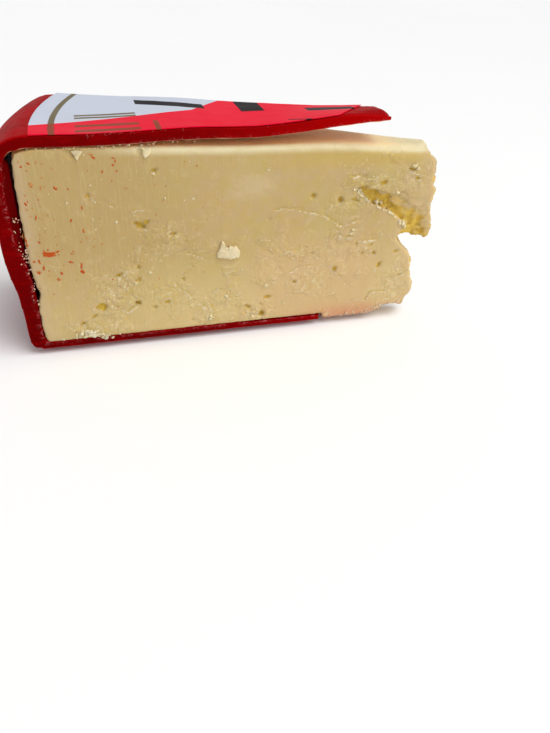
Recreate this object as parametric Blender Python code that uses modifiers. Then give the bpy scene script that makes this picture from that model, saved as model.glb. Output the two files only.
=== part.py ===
"""A cheese wedge cut from a wheel that was dipped in thick wax, with a printed paper label on top.

Two straight knife cuts meet beyond the wheel's axis. The nose of the cheese has broken away and
crumbled, the wax lid has come loose and lifts towards the nose, and the wax wall bulges away from
the cheese at the rind. Lengths are in metres. Every piece is built round the wheel's axis, with +X
towards the nose, -Y towards the front cut and +Z up, and hangs from an empty that stands on that
axis, so that the middle of the wedge's footprint is the origin.
"""

import math

import bmesh
import bpy
from mathutils import Matrix, Vector, noise

# The wheel and where its axis stands from the middle of the wedge's footprint
AXIS_X = 0.0489
AXIS_Y = -0.0170
WAX_RADIUS = 0.1156
WAX_HEIGHT = 0.0630
LID_THICKNESS = 0.0032
WALL_THICKNESS = 0.0035
FLOOR_THICKNESS = 0.0020
CLEARANCE = 0.0003
ROOM_AT_RIND = 0.0036
CHEESE_RADIUS = WAX_RADIUS - WALL_THICKNESS - ROOM_AT_RIND
SHOULDER_FROM = 0.1035
SHOULDER_DROP = 0.0115
RADIAL_STEPS = 192

# The two knife cuts: one lies in front of the axis, and they meet beyond it
FRONT_CUT = 0.0062
APEX_BEYOND_AXIS = 0.0300
CUT_ANGLE = math.radians(19.3)

# The nose, where the wax has broken off and the cheese has crumbled
LID_END = -0.0040
LID_END_SLANT = math.radians(-6)
FLOOR_END = -0.0195
FLOOR_END_SLANT = math.radians(-12)
BREAK_SHEAR_X = 0.62
BREAK_SHEAR_Z = -0.40
HOLLOW_DEPTH = 0.0036

# How the loose lid lifts, from the rind towards the nose
LIFT_EVEN = 0.0012
LIFT_EVEN_FROM = -0.104
LIFT_EVEN_TO = -0.060
LIFT_CURL = 0.0040
LIFT_CURL_FROM = -0.048
LIFT_CURL_TO = 0.000
CURL_LOST_PER_METRE = 37.0
TIP_DROP = 0.0020
TIP_LENGTH = 0.0165
TIP_WIDTH = 0.0050

# The cheese's top settles towards the nose, and its bare edges are worn round
SAG_MIDDLE = 0.0008
SAG_NOSE = 0.0012
BARE_EDGE_ROUND = 0.0020

# The paper label
LABEL_RADIUS = 0.1030
LABEL_THICKNESS = 0.0003
LABEL_END = -0.0202
LABEL_END_SLANT = math.radians(-42)

# Uneven surfaces: heights of the waves and the size of one wave
WALL_WAVE = 0.0007
WALL_WAVE_SIZE = 0.019
FACE_WAVE = 0.00022
FACE_WAVE_SIZE = 0.016
CRUMB_HEIGHT = 0.0011
CRUMB_SIZE = 0.0042

# Fineness of the cheese's solid
CHEESE_VOXEL = 0.0010
CHEESE_TRIANGLES = 8300

# Openings left between curds on the front cut: x, z, width, height and tilt in degrees
FRONT_PITS = [
    (-0.0766, 0.0379, 0.0040, 0.0016, -32),
    (-0.0904, 0.0125, 0.0036, 0.0024, 10),
    (-0.0795, 0.0125, 0.0020, 0.0018, 0),
    (-0.0403, 0.0044, 0.0024, 0.0024, 0),
    (-0.0385, 0.0106, 0.0032, 0.0014, 0),
    (-0.0730, 0.0531, 0.0024, 0.0015, 15),
    (-0.0169, 0.0423, 0.0018, 0.0028, 0),
    (-0.0258, 0.0444, 0.0017, 0.0021, 0),
    (-0.0033, 0.0480, 0.0030, 0.0018, 10),
    (0.0000, 0.0185, 0.0016, 0.0034, -35),
    (-0.0157, 0.0183, 0.0019, 0.0024, 0),
    (0.0070, 0.0523, 0.0034, 0.0016, -15),
    (-0.0679, 0.0348, 0.0020, 0.0018, 0),
    (-0.0834, 0.0227, 0.0030, 0.0016, 25),
]
PIT_DEPTH = 0.0022

# The loose crumb that sticks to the front cut
CRUMB_AT = (-0.0519, 0.0279)
CRUMB_LUMPS = [(-0.0022, 0.0006, 0.0015), (-0.0004, -0.0002, 0.0019), (0.0018, -0.0004, 0.0016)]

# Outline of the broken nose on the front cut, from the top down: distance beyond the axis, height
NOSE_OUTLINE = [
    (0.0050, 0.0640), (0.0066, 0.0597), (0.0090, 0.0577), (0.0113, 0.0547), (0.0125, 0.0518),
    (0.0134, 0.0473), (0.0148, 0.0451), (0.0145, 0.0414), (0.0153, 0.0366), (0.0157, 0.0315),
    (0.0153, 0.0288), (0.0130, 0.0282), (0.0094, 0.0293), (0.0060, 0.0300), (0.0046, 0.0294),
    (0.0046, 0.0278), (0.0063, 0.0257), (0.0091, 0.0232), (0.0110, 0.0200), (0.0119, 0.0145),
    (0.0137, 0.0094), (0.0135, 0.0068), (0.0120, 0.0054), (0.0113, 0.0024), (0.0090, 0.0030),
    (0.0052, 0.0031), (0.0017, 0.0022), (-0.0008, -0.0004), (-0.0052, -0.0020),
]
# Outline of the hollow that broke out of the front of the nose: distance beyond the axis, height
HOLLOW_OUTLINE = [
    (-0.0122, 0.0458), (-0.0083, 0.0427), (-0.0053, 0.0404), (-0.0004, 0.0385), (0.0046, 0.0348),
    (0.0073, 0.0322), (0.0060, 0.0280), (0.0260, 0.0250), (0.0260, 0.0415), (0.0088, 0.0424),
    (0.0059, 0.0430), (0.0040, 0.0450), (0.0016, 0.0436), (-0.0026, 0.0447), (-0.0062, 0.0457),
    (-0.0093, 0.0468),
]

# Colour, roughness and metallic value of each piece
CHEESE_LOOK = ((0.60, 0.44, 0.22), 0.50, 0.0)
WAX_LOOK = ((0.42, 0.005, 0.008), 0.32, 0.0)
PAPER_LOOK = ((0.72, 0.76, 0.84), 0.45, 0.0)


def clear_scene():
    for old in list(bpy.data.objects):
        bpy.data.objects.remove(old, do_unlink=True)


def new_collection(name):
    made = bpy.data.collections.new(name)
    bpy.context.scene.collection.children.link(made)
    return made


def smoothstep(low, high, value):
    share = min(1.0, max(0.0, (value - low) / (high - low)))
    return share * share * (3.0 - 2.0 * share)


def lid_lift(x, y):
    """How far the lid has risen at a place. Its curl is strongest along the front cut."""
    even = smoothstep(LIFT_EVEN_FROM, LIFT_EVEN_TO, x)
    curl = smoothstep(LIFT_CURL_FROM, LIFT_CURL_TO, x)
    curl *= 1.0 - CURL_LOST_PER_METRE * max(0.0, min(0.018, y + FRONT_CUT))
    return LIFT_EVEN * even + LIFT_CURL * curl


def tip_drop(x, y):
    """How far the lid's upper side falls away beyond the label's end, towards the front cut."""
    label_end = LABEL_END - math.tan(LABEL_END_SLANT) * (y + FRONT_CUT)
    near_front = 1.0 - 0.75 * smoothstep(0.0, TIP_WIDTH, y + FRONT_CUT)
    return TIP_DROP * near_front * smoothstep(0.0, TIP_LENGTH, x - label_end)


def cheese_top_sag(x):
    """How far the cheese's top has settled at this distance beyond the axis."""
    return SAG_MIDDLE * smoothstep(-0.085, -0.045, x) + SAG_NOSE * smoothstep(-0.025, 0.010, x)


def add_object(name, mesh, collection):
    made = bpy.data.objects.new(name, mesh)
    collection.objects.link(made)
    return made


def remove_object(obj):
    mesh = obj.data
    bpy.data.objects.remove(obj, do_unlink=True)
    bpy.data.meshes.remove(mesh)


def apply_modifiers(obj):
    """Replaces the object's mesh by its evaluated one."""
    bpy.context.view_layer.update()
    evaluated = obj.evaluated_get(bpy.context.evaluated_depsgraph_get())
    mesh = bpy.data.meshes.new_from_object(evaluated)
    old = obj.data
    obj.modifiers.clear()
    obj.data = mesh
    bpy.data.meshes.remove(old)


def combine(target, tool, operation):
    """Joins, cuts or keeps the overlap of two solids, and removes the tool."""
    modifier = target.modifiers.new(operation.lower(), "BOOLEAN")
    modifier.operation = operation
    modifier.solver = "EXACT"
    modifier.object = tool
    apply_modifiers(target)
    remove_object(tool)


def smooth_line(points, steps=4):
    """The points of a Catmull-Rom curve through these ones."""
    ends = [points[0], *points, points[-1]]
    found = []
    for i in range(1, len(ends) - 2):
        before, start, end, after = (Vector(p) for p in ends[i - 1 : i + 3])
        for k in range(steps):
            t = k / steps
            found.append(
                0.5
                * (
                    2 * start
                    + (end - before) * t
                    + (2 * before - 5 * start + 4 * end - after) * t**2
                    + (3 * start - before - 3 * end + after) * t**3
                )
            )
    found.append(Vector(points[-1]))
    return found


def level_run(radius, height, pieces):
    """Points along a level face, from the axis out to a radius."""
    return [(radius * i / pieces, height) for i in range(pieces)]


def revolve(name, outline, collection):
    """Turns a profile of (radius, height) points, from the axis out and back, round the wheel's axis."""
    mesh = bpy.data.meshes.new(name)
    corners = [(radius, 0.0, height) for radius, height in outline]
    mesh.from_pydata(corners, [(i, i + 1) for i in range(len(corners) - 1)], [])
    made = add_object(name, mesh, collection)
    turned = made.modifiers.new("turned", "SCREW")
    turned.axis = "Z"
    turned.steps = RADIAL_STEPS
    turned.render_steps = RADIAL_STEPS
    turned.use_merge_vertices = True
    turned.merge_threshold = 0.00002
    apply_modifiers(made)
    return made


def outline_solid(name, points, thickness, collection):
    """A flat outline in X and Y, drawn as a filled 2D curve and thickened evenly about Z = 0."""
    curve = bpy.data.curves.new(name, "CURVE")
    curve.dimensions = "2D"
    curve.fill_mode = "BOTH"
    curve.extrude = thickness / 2
    line = curve.splines.new("POLY")
    line.points.add(len(points) - 1)
    for spot, (x, y) in zip(line.points, points):
        spot.co = (x, y, 0.0, 1.0)
    line.use_cyclic_u = True
    drawn = add_object(name + "_drawn", curve, collection)
    bpy.context.view_layer.update()
    evaluated = drawn.evaluated_get(bpy.context.evaluated_depsgraph_get())
    mesh = bpy.data.meshes.new_from_object(evaluated)
    bpy.data.objects.remove(drawn, do_unlink=True)
    bpy.data.curves.remove(curve)
    form = bmesh.new()
    form.from_mesh(mesh)
    bmesh.ops.remove_doubles(form, verts=form.verts, dist=0.000001)
    bmesh.ops.recalc_face_normals(form, faces=form.faces)
    form.to_mesh(mesh)
    form.free()
    return add_object(name, mesh, collection)


def box_solid(name, low, high, collection):
    """A box between two corners."""
    mesh = bpy.data.meshes.new(name)
    form = bmesh.new()
    bmesh.ops.create_cube(form, size=1.0)
    size = Vector(high) - Vector(low)
    middle = (Vector(high) + Vector(low)) / 2
    form.transform(Matrix.Translation(middle) @ Matrix.Diagonal((*size, 1.0)))
    form.to_mesh(mesh)
    form.free()
    return add_object(name, mesh, collection)


def end_cutter(name, x, slant, heights, collection, beyond=True):
    """A block that reaches from x beyond it, or back from it, with the face at x turned by a slant."""
    reach = 0.15
    start, end = (0.0, reach) if beyond else (-reach, 0.0)
    made = box_solid(name, (start, -reach, heights[0]), (end, reach, heights[1]), collection)
    turn = Matrix.Translation((x, -FRONT_CUT, 0.0)) @ Matrix.Rotation(slant, 4, "Z")
    made.data.transform(turn)
    return made


def knife_wedge(collection):
    """The prism between the two knife cuts, taller than the wheel."""
    reach = 0.20
    apex = Vector((APEX_BEYOND_AXIS, -FRONT_CUT))
    front = apex + Vector((-reach, 0.0))
    back = apex + reach * Vector((-math.cos(CUT_ANGLE), math.sin(CUT_ANGLE)))
    return outline_solid("knife_wedge", [apex, back, front], 0.40, collection)


def stand_in_face(made, y, depth_each_way):
    """Turns an outline drawn in X and Y to stand in X and Z, and spreads it through Y about y."""
    made.data.transform(Matrix.Translation((0.0, y, 0.0)) @ Matrix.Rotation(math.pi / 2, 4, "X"))
    return made


def lump(name, size, seed, collection, detail=2, unevenness=0.30):
    """A rounded, uneven lump with these half sizes, about the origin."""
    mesh = bpy.data.meshes.new(name)
    form = bmesh.new()
    bmesh.ops.create_icosphere(form, subdivisions=detail, radius=1.0)
    for spot in form.verts:
        shift = noise.noise(spot.co * 1.3 + Vector((seed * 7.1, seed * 3.3, 0.0)))
        spot.co *= 1.0 + unevenness * shift
        spot.co = Vector(a * b for a, b in zip(spot.co, size))
    form.to_mesh(mesh)
    form.free()
    return add_object(name, mesh, collection)


def wax_shoulder(steps=9):
    """A quarter of an ellipse from the level top down to the wall."""
    width = WAX_RADIUS - SHOULDER_FROM
    arc = []
    for i in range(steps):
        turn = math.pi / 2 * i / steps
        drop = SHOULDER_DROP * (1.0 - math.cos(turn))
        arc.append((SHOULDER_FROM + width * math.sin(turn), WAX_HEIGHT - drop))
    return arc


def wax_outer_profile():
    wall = smooth_line([
        (WAX_RADIUS, WAX_HEIGHT - SHOULDER_DROP), (WAX_RADIUS, 0.0430), (0.1153, 0.0335),
        (0.1145, 0.0255), (0.1134, 0.0190), (0.1128, 0.0110), (0.1128, 0.0050),
        (0.1120, 0.0012), (0.1098, 0.0),
    ], 3)
    top = level_run(SHOULDER_FROM, WAX_HEIGHT, 20)
    base = list(reversed(level_run(0.1098, 0.0, 10)))
    return [*top, *wax_shoulder(), *wall, *base]


def wax_inner_profile():
    top_height = WAX_HEIGHT - LID_THICKNESS
    rim = smooth_line([
        (0.1030, top_height), (0.1074, 0.0592), (0.1096, 0.0575), (0.1108, 0.0520),
        (0.1111, 0.0450), (0.1108, 0.0370), (0.1097, 0.0305), (0.1089, 0.0260),
        (0.1087, 0.0180), (0.1087, 0.0060), (0.1078, 0.0030), (0.1056, FLOOR_THICKNESS),
    ])
    top = level_run(0.1030, top_height, 20)
    base = list(reversed(level_run(0.1056, FLOOR_THICKNESS, 10)))
    return [*top, *rim, *base]


def cheese_profile():
    top_height = WAX_HEIGHT - LID_THICKNESS - CLEARANCE
    base_height = 0.0002
    rim = smooth_line([
        (0.1022, top_height), (0.1062, 0.0588), (0.1078, 0.0570), (0.1084, 0.0500),
        (CHEESE_RADIUS, 0.0400), (0.1084, 0.0280), (0.1080, 0.0220), (0.1072, 0.0184),
        (0.1081, 0.0150), (0.1083, 0.0060), (0.1072, 0.0022), (0.1046, base_height),
    ])
    top = level_run(0.1022, top_height, 4)
    base = list(reversed(level_run(0.1046, base_height, 4)))
    return [*top, *rim, *base]


def lift_lid(obj):
    """Raises the lid's points, more and more towards the nose, and leaves the wall and floor."""
    under_lid = WAX_HEIGHT - LID_THICKNESS - 0.0002
    for spot in obj.data.vertices:
        held = smoothstep(under_lid - 0.004, under_lid, spot.co.z)
        spot.co.z += held * lid_lift(spot.co.x, spot.co.y)


def thin_tip(wax):
    """Lets the upper side of the lid fall away towards its broken tip."""
    for spot in wax.data.vertices:
        if spot.co.z > WAX_HEIGHT - 0.0002 and spot.co.x < LID_END + 0.01:
            spot.co.z -= tip_drop(spot.co.x, spot.co.y)


def wave_wall(obj):
    """Gives the outside of the wax wall the shallow dents of a dipped and handled wheel."""
    for spot in obj.data.vertices:
        radius = Vector((spot.co.x, spot.co.y)).length
        outside = smoothstep(WAX_RADIUS - 0.0030, WAX_RADIUS - 0.0010, radius)
        upright = smoothstep(0.004, 0.012, spot.co.z)
        shift = WALL_WAVE * outside * upright * (noise.noise(spot.co / WALL_WAVE_SIZE) - 0.15)
        spot.co.x *= 1.0 + shift / radius
        spot.co.y *= 1.0 + shift / radius


def make_wax(collection, tools):
    """The coat: lid, wall and floor in one piece, cut with the wedge and broken off at the nose."""
    wax = revolve("wax_coat", wax_outer_profile(), collection)
    combine(wax, revolve("room_for_cheese", wax_inner_profile(), tools), "DIFFERENCE")
    combine(wax, knife_wedge(tools), "INTERSECT")
    middle_height = WAX_HEIGHT / 2
    lid_end = end_cutter("lid_end", LID_END, LID_END_SLANT, (middle_height, 0.09), tools)
    combine(wax, lid_end, "DIFFERENCE")
    floor_end = end_cutter("floor_end", FLOOR_END, FLOOR_END_SLANT, (-0.01, middle_height), tools)
    combine(wax, floor_end, "DIFFERENCE")
    thin_tip(wax)
    lift_lid(wax)
    wave_wall(wax)
    return wax


def make_label(collection, tools):
    """The printed paper on the lid, which lifts with it."""
    low = WAX_HEIGHT + CLEARANCE
    high = low + LABEL_THICKNESS
    top = level_run(LABEL_RADIUS, high, 16)
    under = list(reversed(level_run(LABEL_RADIUS, low, 16)))
    profile = [*top, (LABEL_RADIUS, high), (LABEL_RADIUS, low), *under]
    label = revolve("paper_label", profile, collection)
    combine(label, knife_wedge(tools), "INTERSECT")
    end = end_cutter("label_end", LABEL_END, LABEL_END_SLANT, (0.05, 0.08), tools)
    combine(label, end, "DIFFERENCE")
    lift_lid(label)
    return label


def cut_nose(cheese, tools):
    """Breaks the nose along its outline, slanting down and outwards through the wedge."""
    far = 0.06
    closing = [(far, -0.0020), (far, 0.0640)]
    nose = outline_solid("nose_break", [*smooth_line(NOSE_OUTLINE, 2), *closing], 0.12, tools)
    stand_in_face(nose, 0.0, 0.06)
    shear = Matrix.Identity(4)
    shear[0][1] = BREAK_SHEAR_X
    shear[2][1] = BREAK_SHEAR_Z
    front = Matrix.Translation((0.0, -FRONT_CUT, 0.0))
    nose.data.transform(front @ shear @ front.inverted())
    combine(cheese, nose, "DIFFERENCE")


def cut_hollow(cheese, tools):
    """Takes the crumbled hollow out of the front of the nose, deepest along its lower left lip."""
    hollow = outline_solid("nose_hollow", smooth_line(HOLLOW_OUTLINE, 2), 0.02, tools)
    stand_in_face(hollow, -FRONT_CUT - 0.01 + HOLLOW_DEPTH, 0.01)
    lip = Vector((-0.002, 0.0, 0.036))
    across = Vector((0.55, 0.0, 0.83)).normalized()
    for spot in hollow.data.vertices:
        if spot.co.y > -FRONT_CUT:
            rise = (spot.co - lip).dot(across)
            spot.co.y -= 0.26 * max(0.0, rise)
    combine(cheese, hollow, "DIFFERENCE")


def cut_pits(cheese, tools):
    """Opens the pits between curds on the front cut."""
    for i, (x, z, width, height, tilt) in enumerate(FRONT_PITS):
        pit = lump(f"pit_{i}", (width / 2, PIT_DEPTH, height / 2), i + 1, tools, 1)
        turn = Matrix.Rotation(math.radians(-tilt), 4, "Y")
        pit.data.transform(Matrix.Translation((x, -FRONT_CUT, z)) @ turn)
        combine(cheese, pit, "DIFFERENCE")


def add_stuck_crumb(cheese, tools):
    """Fuses the crumb that sticks to the front cut."""
    for i, (x, z, size) in enumerate(CRUMB_LUMPS):
        piece = lump(f"crumb_{i}", (size, size * 0.9, size), i + 40, tools, 2)
        place = (CRUMB_AT[0] + x, -FRONT_CUT - size * 0.25, CRUMB_AT[1] + z)
        piece.data.transform(Matrix.Translation(place))
        combine(cheese, piece, "UNION")


def depth_inside(point):
    """How far a point lies inside the surfaces that the cheese had before it broke."""
    front = point.y + FRONT_CUT
    beyond = Vector((point.x - APEX_BEYOND_AXIS, point.y + FRONT_CUT))
    back = -(beyond.x * math.sin(CUT_ANGLE) + beyond.y * math.cos(CUT_ANGLE))
    top = WAX_HEIGHT - LID_THICKNESS - CLEARANCE - point.z
    rind = CHEESE_RADIUS - Vector((point.x, point.y)).length
    return min(front, back, top, rind, point.z)


def roughen_cheese(cheese):
    """Waves on the cut faces, rounded crumbs where the cheese broke, and a settled top."""
    for spot in cheese.data.vertices:
        point = spot.co.copy()
        normal = spot.normal.copy()
        front_face = smoothstep(0.7, 0.95, -normal.y)
        back_face = smoothstep(0.7, 0.95, normal.y)
        near_wax = max(smoothstep(0.0545, 0.0575, point.z), smoothstep(0.0055, 0.0030, point.z))
        wave = FACE_WAVE * noise.noise(point / FACE_WAVE_SIZE) * (1.0 - 0.8 * near_wax)
        broken = smoothstep(0.0004, 0.0012, depth_inside(point))
        broken *= smoothstep(FLOOR_END + 0.001, FLOOR_END + 0.005, point.x)
        nearest, _ = noise.voronoi(point / CRUMB_SIZE)
        crumbs = CRUMB_HEIGHT * (0.45 - nearest[0]) * broken
        spot.co += normal * (wave * max(front_face, back_face) + crumbs)
        spot.co.z -= cheese_top_sag(point.x) * smoothstep(0.030, 0.058, point.z)


def round_bare_edge(cheese):
    """Wears the front top edge round where the lid has lifted off it."""
    top = WAX_HEIGHT - LID_THICKNESS - CLEARANCE
    for spot in cheese.data.vertices:
        bare = smoothstep(-0.088, -0.066, spot.co.x)
        in_from_front = spot.co.y + FRONT_CUT
        down_from_top = top - spot.co.z - cheese_top_sag(spot.co.x)
        reach = BARE_EDGE_ROUND
        if bare > 0.0 and in_from_front < reach and down_from_top < reach:
            corner = Vector((reach - in_from_front, reach - down_from_top))
            over = max(0.0, corner.length - reach)
            pull = corner.normalized() * over * bare
            spot.co.y += pull.x
            spot.co.z -= pull.y


def remesh(obj, size):
    """Rebuilds the surface with even small faces."""
    modifier = obj.modifiers.new("even_faces", "REMESH")
    modifier.mode = "VOXEL"
    modifier.voxel_size = size
    modifier.adaptivity = 0.0
    apply_modifiers(obj)


def thin_out(obj, triangles):
    """Keeps about this many triangles, most of them where the surface is rough."""
    obj.data.calc_loop_triangles()
    modifier = obj.modifiers.new("fewer_faces", "DECIMATE")
    modifier.ratio = min(1.0, triangles / len(obj.data.loop_triangles))
    modifier.use_collapse_triangulate = True
    apply_modifiers(obj)


def make_cheese(collection, tools):
    cheese = revolve("cheese", cheese_profile(), collection)
    combine(cheese, knife_wedge(tools), "INTERSECT")
    heights = (-0.01, FLOOR_THICKNESS + 1.5 * CLEARANCE)
    room_end = FLOOR_END + 5 * CLEARANCE
    floor_room = end_cutter("room_for_floor", room_end, FLOOR_END_SLANT, heights, tools, False)
    combine(cheese, floor_room, "DIFFERENCE")
    cut_nose(cheese, tools)
    cut_hollow(cheese, tools)
    cut_pits(cheese, tools)
    add_stuck_crumb(cheese, tools)
    remesh(cheese, CHEESE_VOXEL)
    round_bare_edge(cheese)
    roughen_cheese(cheese)
    thin_out(cheese, CHEESE_TRIANGLES)
    return cheese


def finish_look(obj, name, look, smooth_below):
    colour, roughness, metallic = look
    material = bpy.data.materials.new(name)
    material.use_nodes = True
    shader = material.node_tree.nodes["Principled BSDF"]
    shader.inputs["Base Color"].default_value = (*colour, 1.0)
    shader.inputs["Roughness"].default_value = roughness
    shader.inputs["Metallic"].default_value = metallic
    obj.data.materials.clear()
    obj.data.materials.append(material)
    obj.data.shade_smooth()
    obj.data.set_sharp_from_angle(angle=math.radians(smooth_below))


def main():
    clear_scene()
    pieces = new_collection("cheese_wedge")
    tools = new_collection("cutters")
    axis = bpy.data.objects.new("wheel_axis", None)
    axis.location = (AXIS_X, AXIS_Y, 0.0)
    pieces.objects.link(axis)
    cheese = make_cheese(pieces, tools)
    wax = make_wax(pieces, tools)
    label = make_label(pieces, tools)
    finish_look(cheese, "cheddar", CHEESE_LOOK, 50)
    finish_look(wax, "red_wax", WAX_LOOK, 35)
    finish_look(label, "coated_paper", PAPER_LOOK, 35)
    for piece in (cheese, wax, label):
        piece.parent = axis
    bpy.data.collections.remove(tools)


main()
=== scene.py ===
"""A cheese wedge in its wax coat, dressed for a close look.

Every piece is built round the wheel's axis, with +X towards the nose, -Y towards the front cut and
+Z up, and its object stands on that axis. Lengths are in metres.
"""

import math
import random

import bmesh
import bpy
import numpy as np
from bpy.props import FloatProperty, FloatVectorProperty, IntProperty, PointerProperty
from bpy.types import Operator, Panel, PropertyGroup
from mathutils import Matrix, Vector, noise
from mathutils.bvhtree import BVHTree


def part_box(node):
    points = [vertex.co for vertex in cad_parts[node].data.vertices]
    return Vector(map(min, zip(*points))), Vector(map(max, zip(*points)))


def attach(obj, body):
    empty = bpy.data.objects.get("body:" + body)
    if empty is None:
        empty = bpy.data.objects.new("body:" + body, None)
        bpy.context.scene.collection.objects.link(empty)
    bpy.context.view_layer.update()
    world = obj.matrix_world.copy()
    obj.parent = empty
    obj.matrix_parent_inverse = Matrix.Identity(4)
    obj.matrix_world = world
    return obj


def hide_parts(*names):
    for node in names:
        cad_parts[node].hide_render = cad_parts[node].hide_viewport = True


bl_info = {
    "name": "Waxed cheese wedge",
    "version": (1, 1, 0),
    "blender": (4, 5, 0),
    "location": "3D View > Sidebar > Cheese",
    "description": "Builds a wedge of waxed cheese with its loose lid, paper label and crumbs",
    "category": "Add Mesh",
}

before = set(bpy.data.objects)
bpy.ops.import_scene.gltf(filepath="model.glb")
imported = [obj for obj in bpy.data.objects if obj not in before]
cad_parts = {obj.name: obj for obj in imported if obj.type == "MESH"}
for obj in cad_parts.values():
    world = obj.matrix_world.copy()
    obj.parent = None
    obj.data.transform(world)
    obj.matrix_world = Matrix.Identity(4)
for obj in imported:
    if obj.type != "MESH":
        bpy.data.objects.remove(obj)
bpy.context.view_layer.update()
LABEL_LOW, LABEL_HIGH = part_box("paper_label")

# Steps round the wheel, how ragged broken wax is and how soft the edges of the print are
TURN_STEPS = 256
RAGGED = 0.0003
PRINT_EDGE = 0.00008
# The photograph's point of view: place from the wheel's axis, its own axes and its lens in mm
VIEW_PLACE = (-0.09027, -0.17053, 0.10864)
VIEW_RIGHT = (0.95752, -0.28267, 0.05698)
VIEW_UP = (0.12316, 0.57959, 0.80555)
VIEW_AHEAD = (0.26073, 0.76432, -0.58978)
VIEW_LENS = 29.657
# Openings between curds on the front cut: x, z, width, height, tilt in degrees, depth
FRONT_PITS = [
    (-0.0774, 0.0378, 0.0042, 0.0019, -30, 0.0020), (-0.0757, 0.0386, 0.0024, 0.0014, 22, 0.0012),
    (-0.0904, 0.0125, 0.0036, 0.0026, 8, 0.0016), (-0.0797, 0.0127, 0.0019, 0.0018, -25, 0.0024),
    (-0.0930, 0.0097, 0.0022, 0.0010, 35, 0.0011), (-0.0966, 0.0074, 0.0022, 0.0011, 25, 0.0012),
    (-0.0907, 0.0472, 0.0009, 0.0020, 25, 0.0012), (-0.0787, 0.0248, 0.0013, 0.0014, 0, 0.0013),
    (-0.0846, 0.0228, 0.0030, 0.0010, 28, 0.0010), (-0.0789, 0.0207, 0.0017, 0.0018, -30, 0.0014),
    (-0.0727, 0.0534, 0.0021, 0.0012, 15, 0.0013), (-0.0680, 0.0347, 0.0021, 0.0012, 0, 0.0011),
    (-0.0706, 0.0122, 0.0020, 0.0016, 20, 0.0011), (-0.0747, 0.0107, 0.0016, 0.0011, 0, 0.0010),
    (-0.0656, 0.0197, 0.0012, 0.0012, 0, 0.0010), (-0.0631, 0.0052, 0.0012, 0.0010, 0, 0.0008),
    (-0.0403, 0.0044, 0.0022, 0.0024, -20, 0.0025), (-0.0449, 0.0076, 0.0026, 0.0013, -25, 0.0011),
    (-0.0385, 0.0107, 0.0034, 0.0012, 0, 0.0013), (-0.0298, 0.0153, 0.0014, 0.0013, 0, 0.0012),
    (-0.0258, 0.0444, 0.0014, 0.0022, 10, 0.0016), (-0.0168, 0.0424, 0.0019, 0.0026, 0, 0.0021),
    (-0.0030, 0.0480, 0.0028, 0.0015, 15, 0.0016), (-0.0159, 0.0186, 0.0021, 0.0018, -40, 0.0016),
    (-0.0001, 0.0188, 0.0014, 0.0032, -28, 0.0016), (-0.0094, 0.0274, 0.0010, 0.0021, 12, 0.0013),
    (-0.0041, 0.0264, 0.0017, 0.0009, 12, 0.0010), (-0.0068, 0.0237, 0.0018, 0.0010, 12, 0.0010),
    (-0.0026, 0.0232, 0.0013, 0.0013, 20, 0.0013), (-0.0392, 0.0376, 0.0013, 0.0012, 0, 0.0010),
    (0.0059, 0.0525, 0.0026, 0.0010, -12, 0.0013), (0.0084, 0.0492, 0.0020, 0.0011, -10, 0.0012),
    (-0.0243, 0.0250, 0.0015, 0.0009, 10, 0.0009), (0.0052, 0.0233, 0.0022, 0.0009, 25, 0.0009),
    (0.0087, 0.0144, 0.0024, 0.0010, 15, 0.0009), (-0.0120, 0.0424, 0.0030, 0.0009, -15, 0.0010),
]
# Notches in the front top edge: x of the point, its height, run to the left and to the right
TOP_NOTCHES = [(-0.0933, 0.0571, 0.0024, 0.0030), (-0.0762, 0.0572, 0.0013, 0.0024)]
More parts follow.
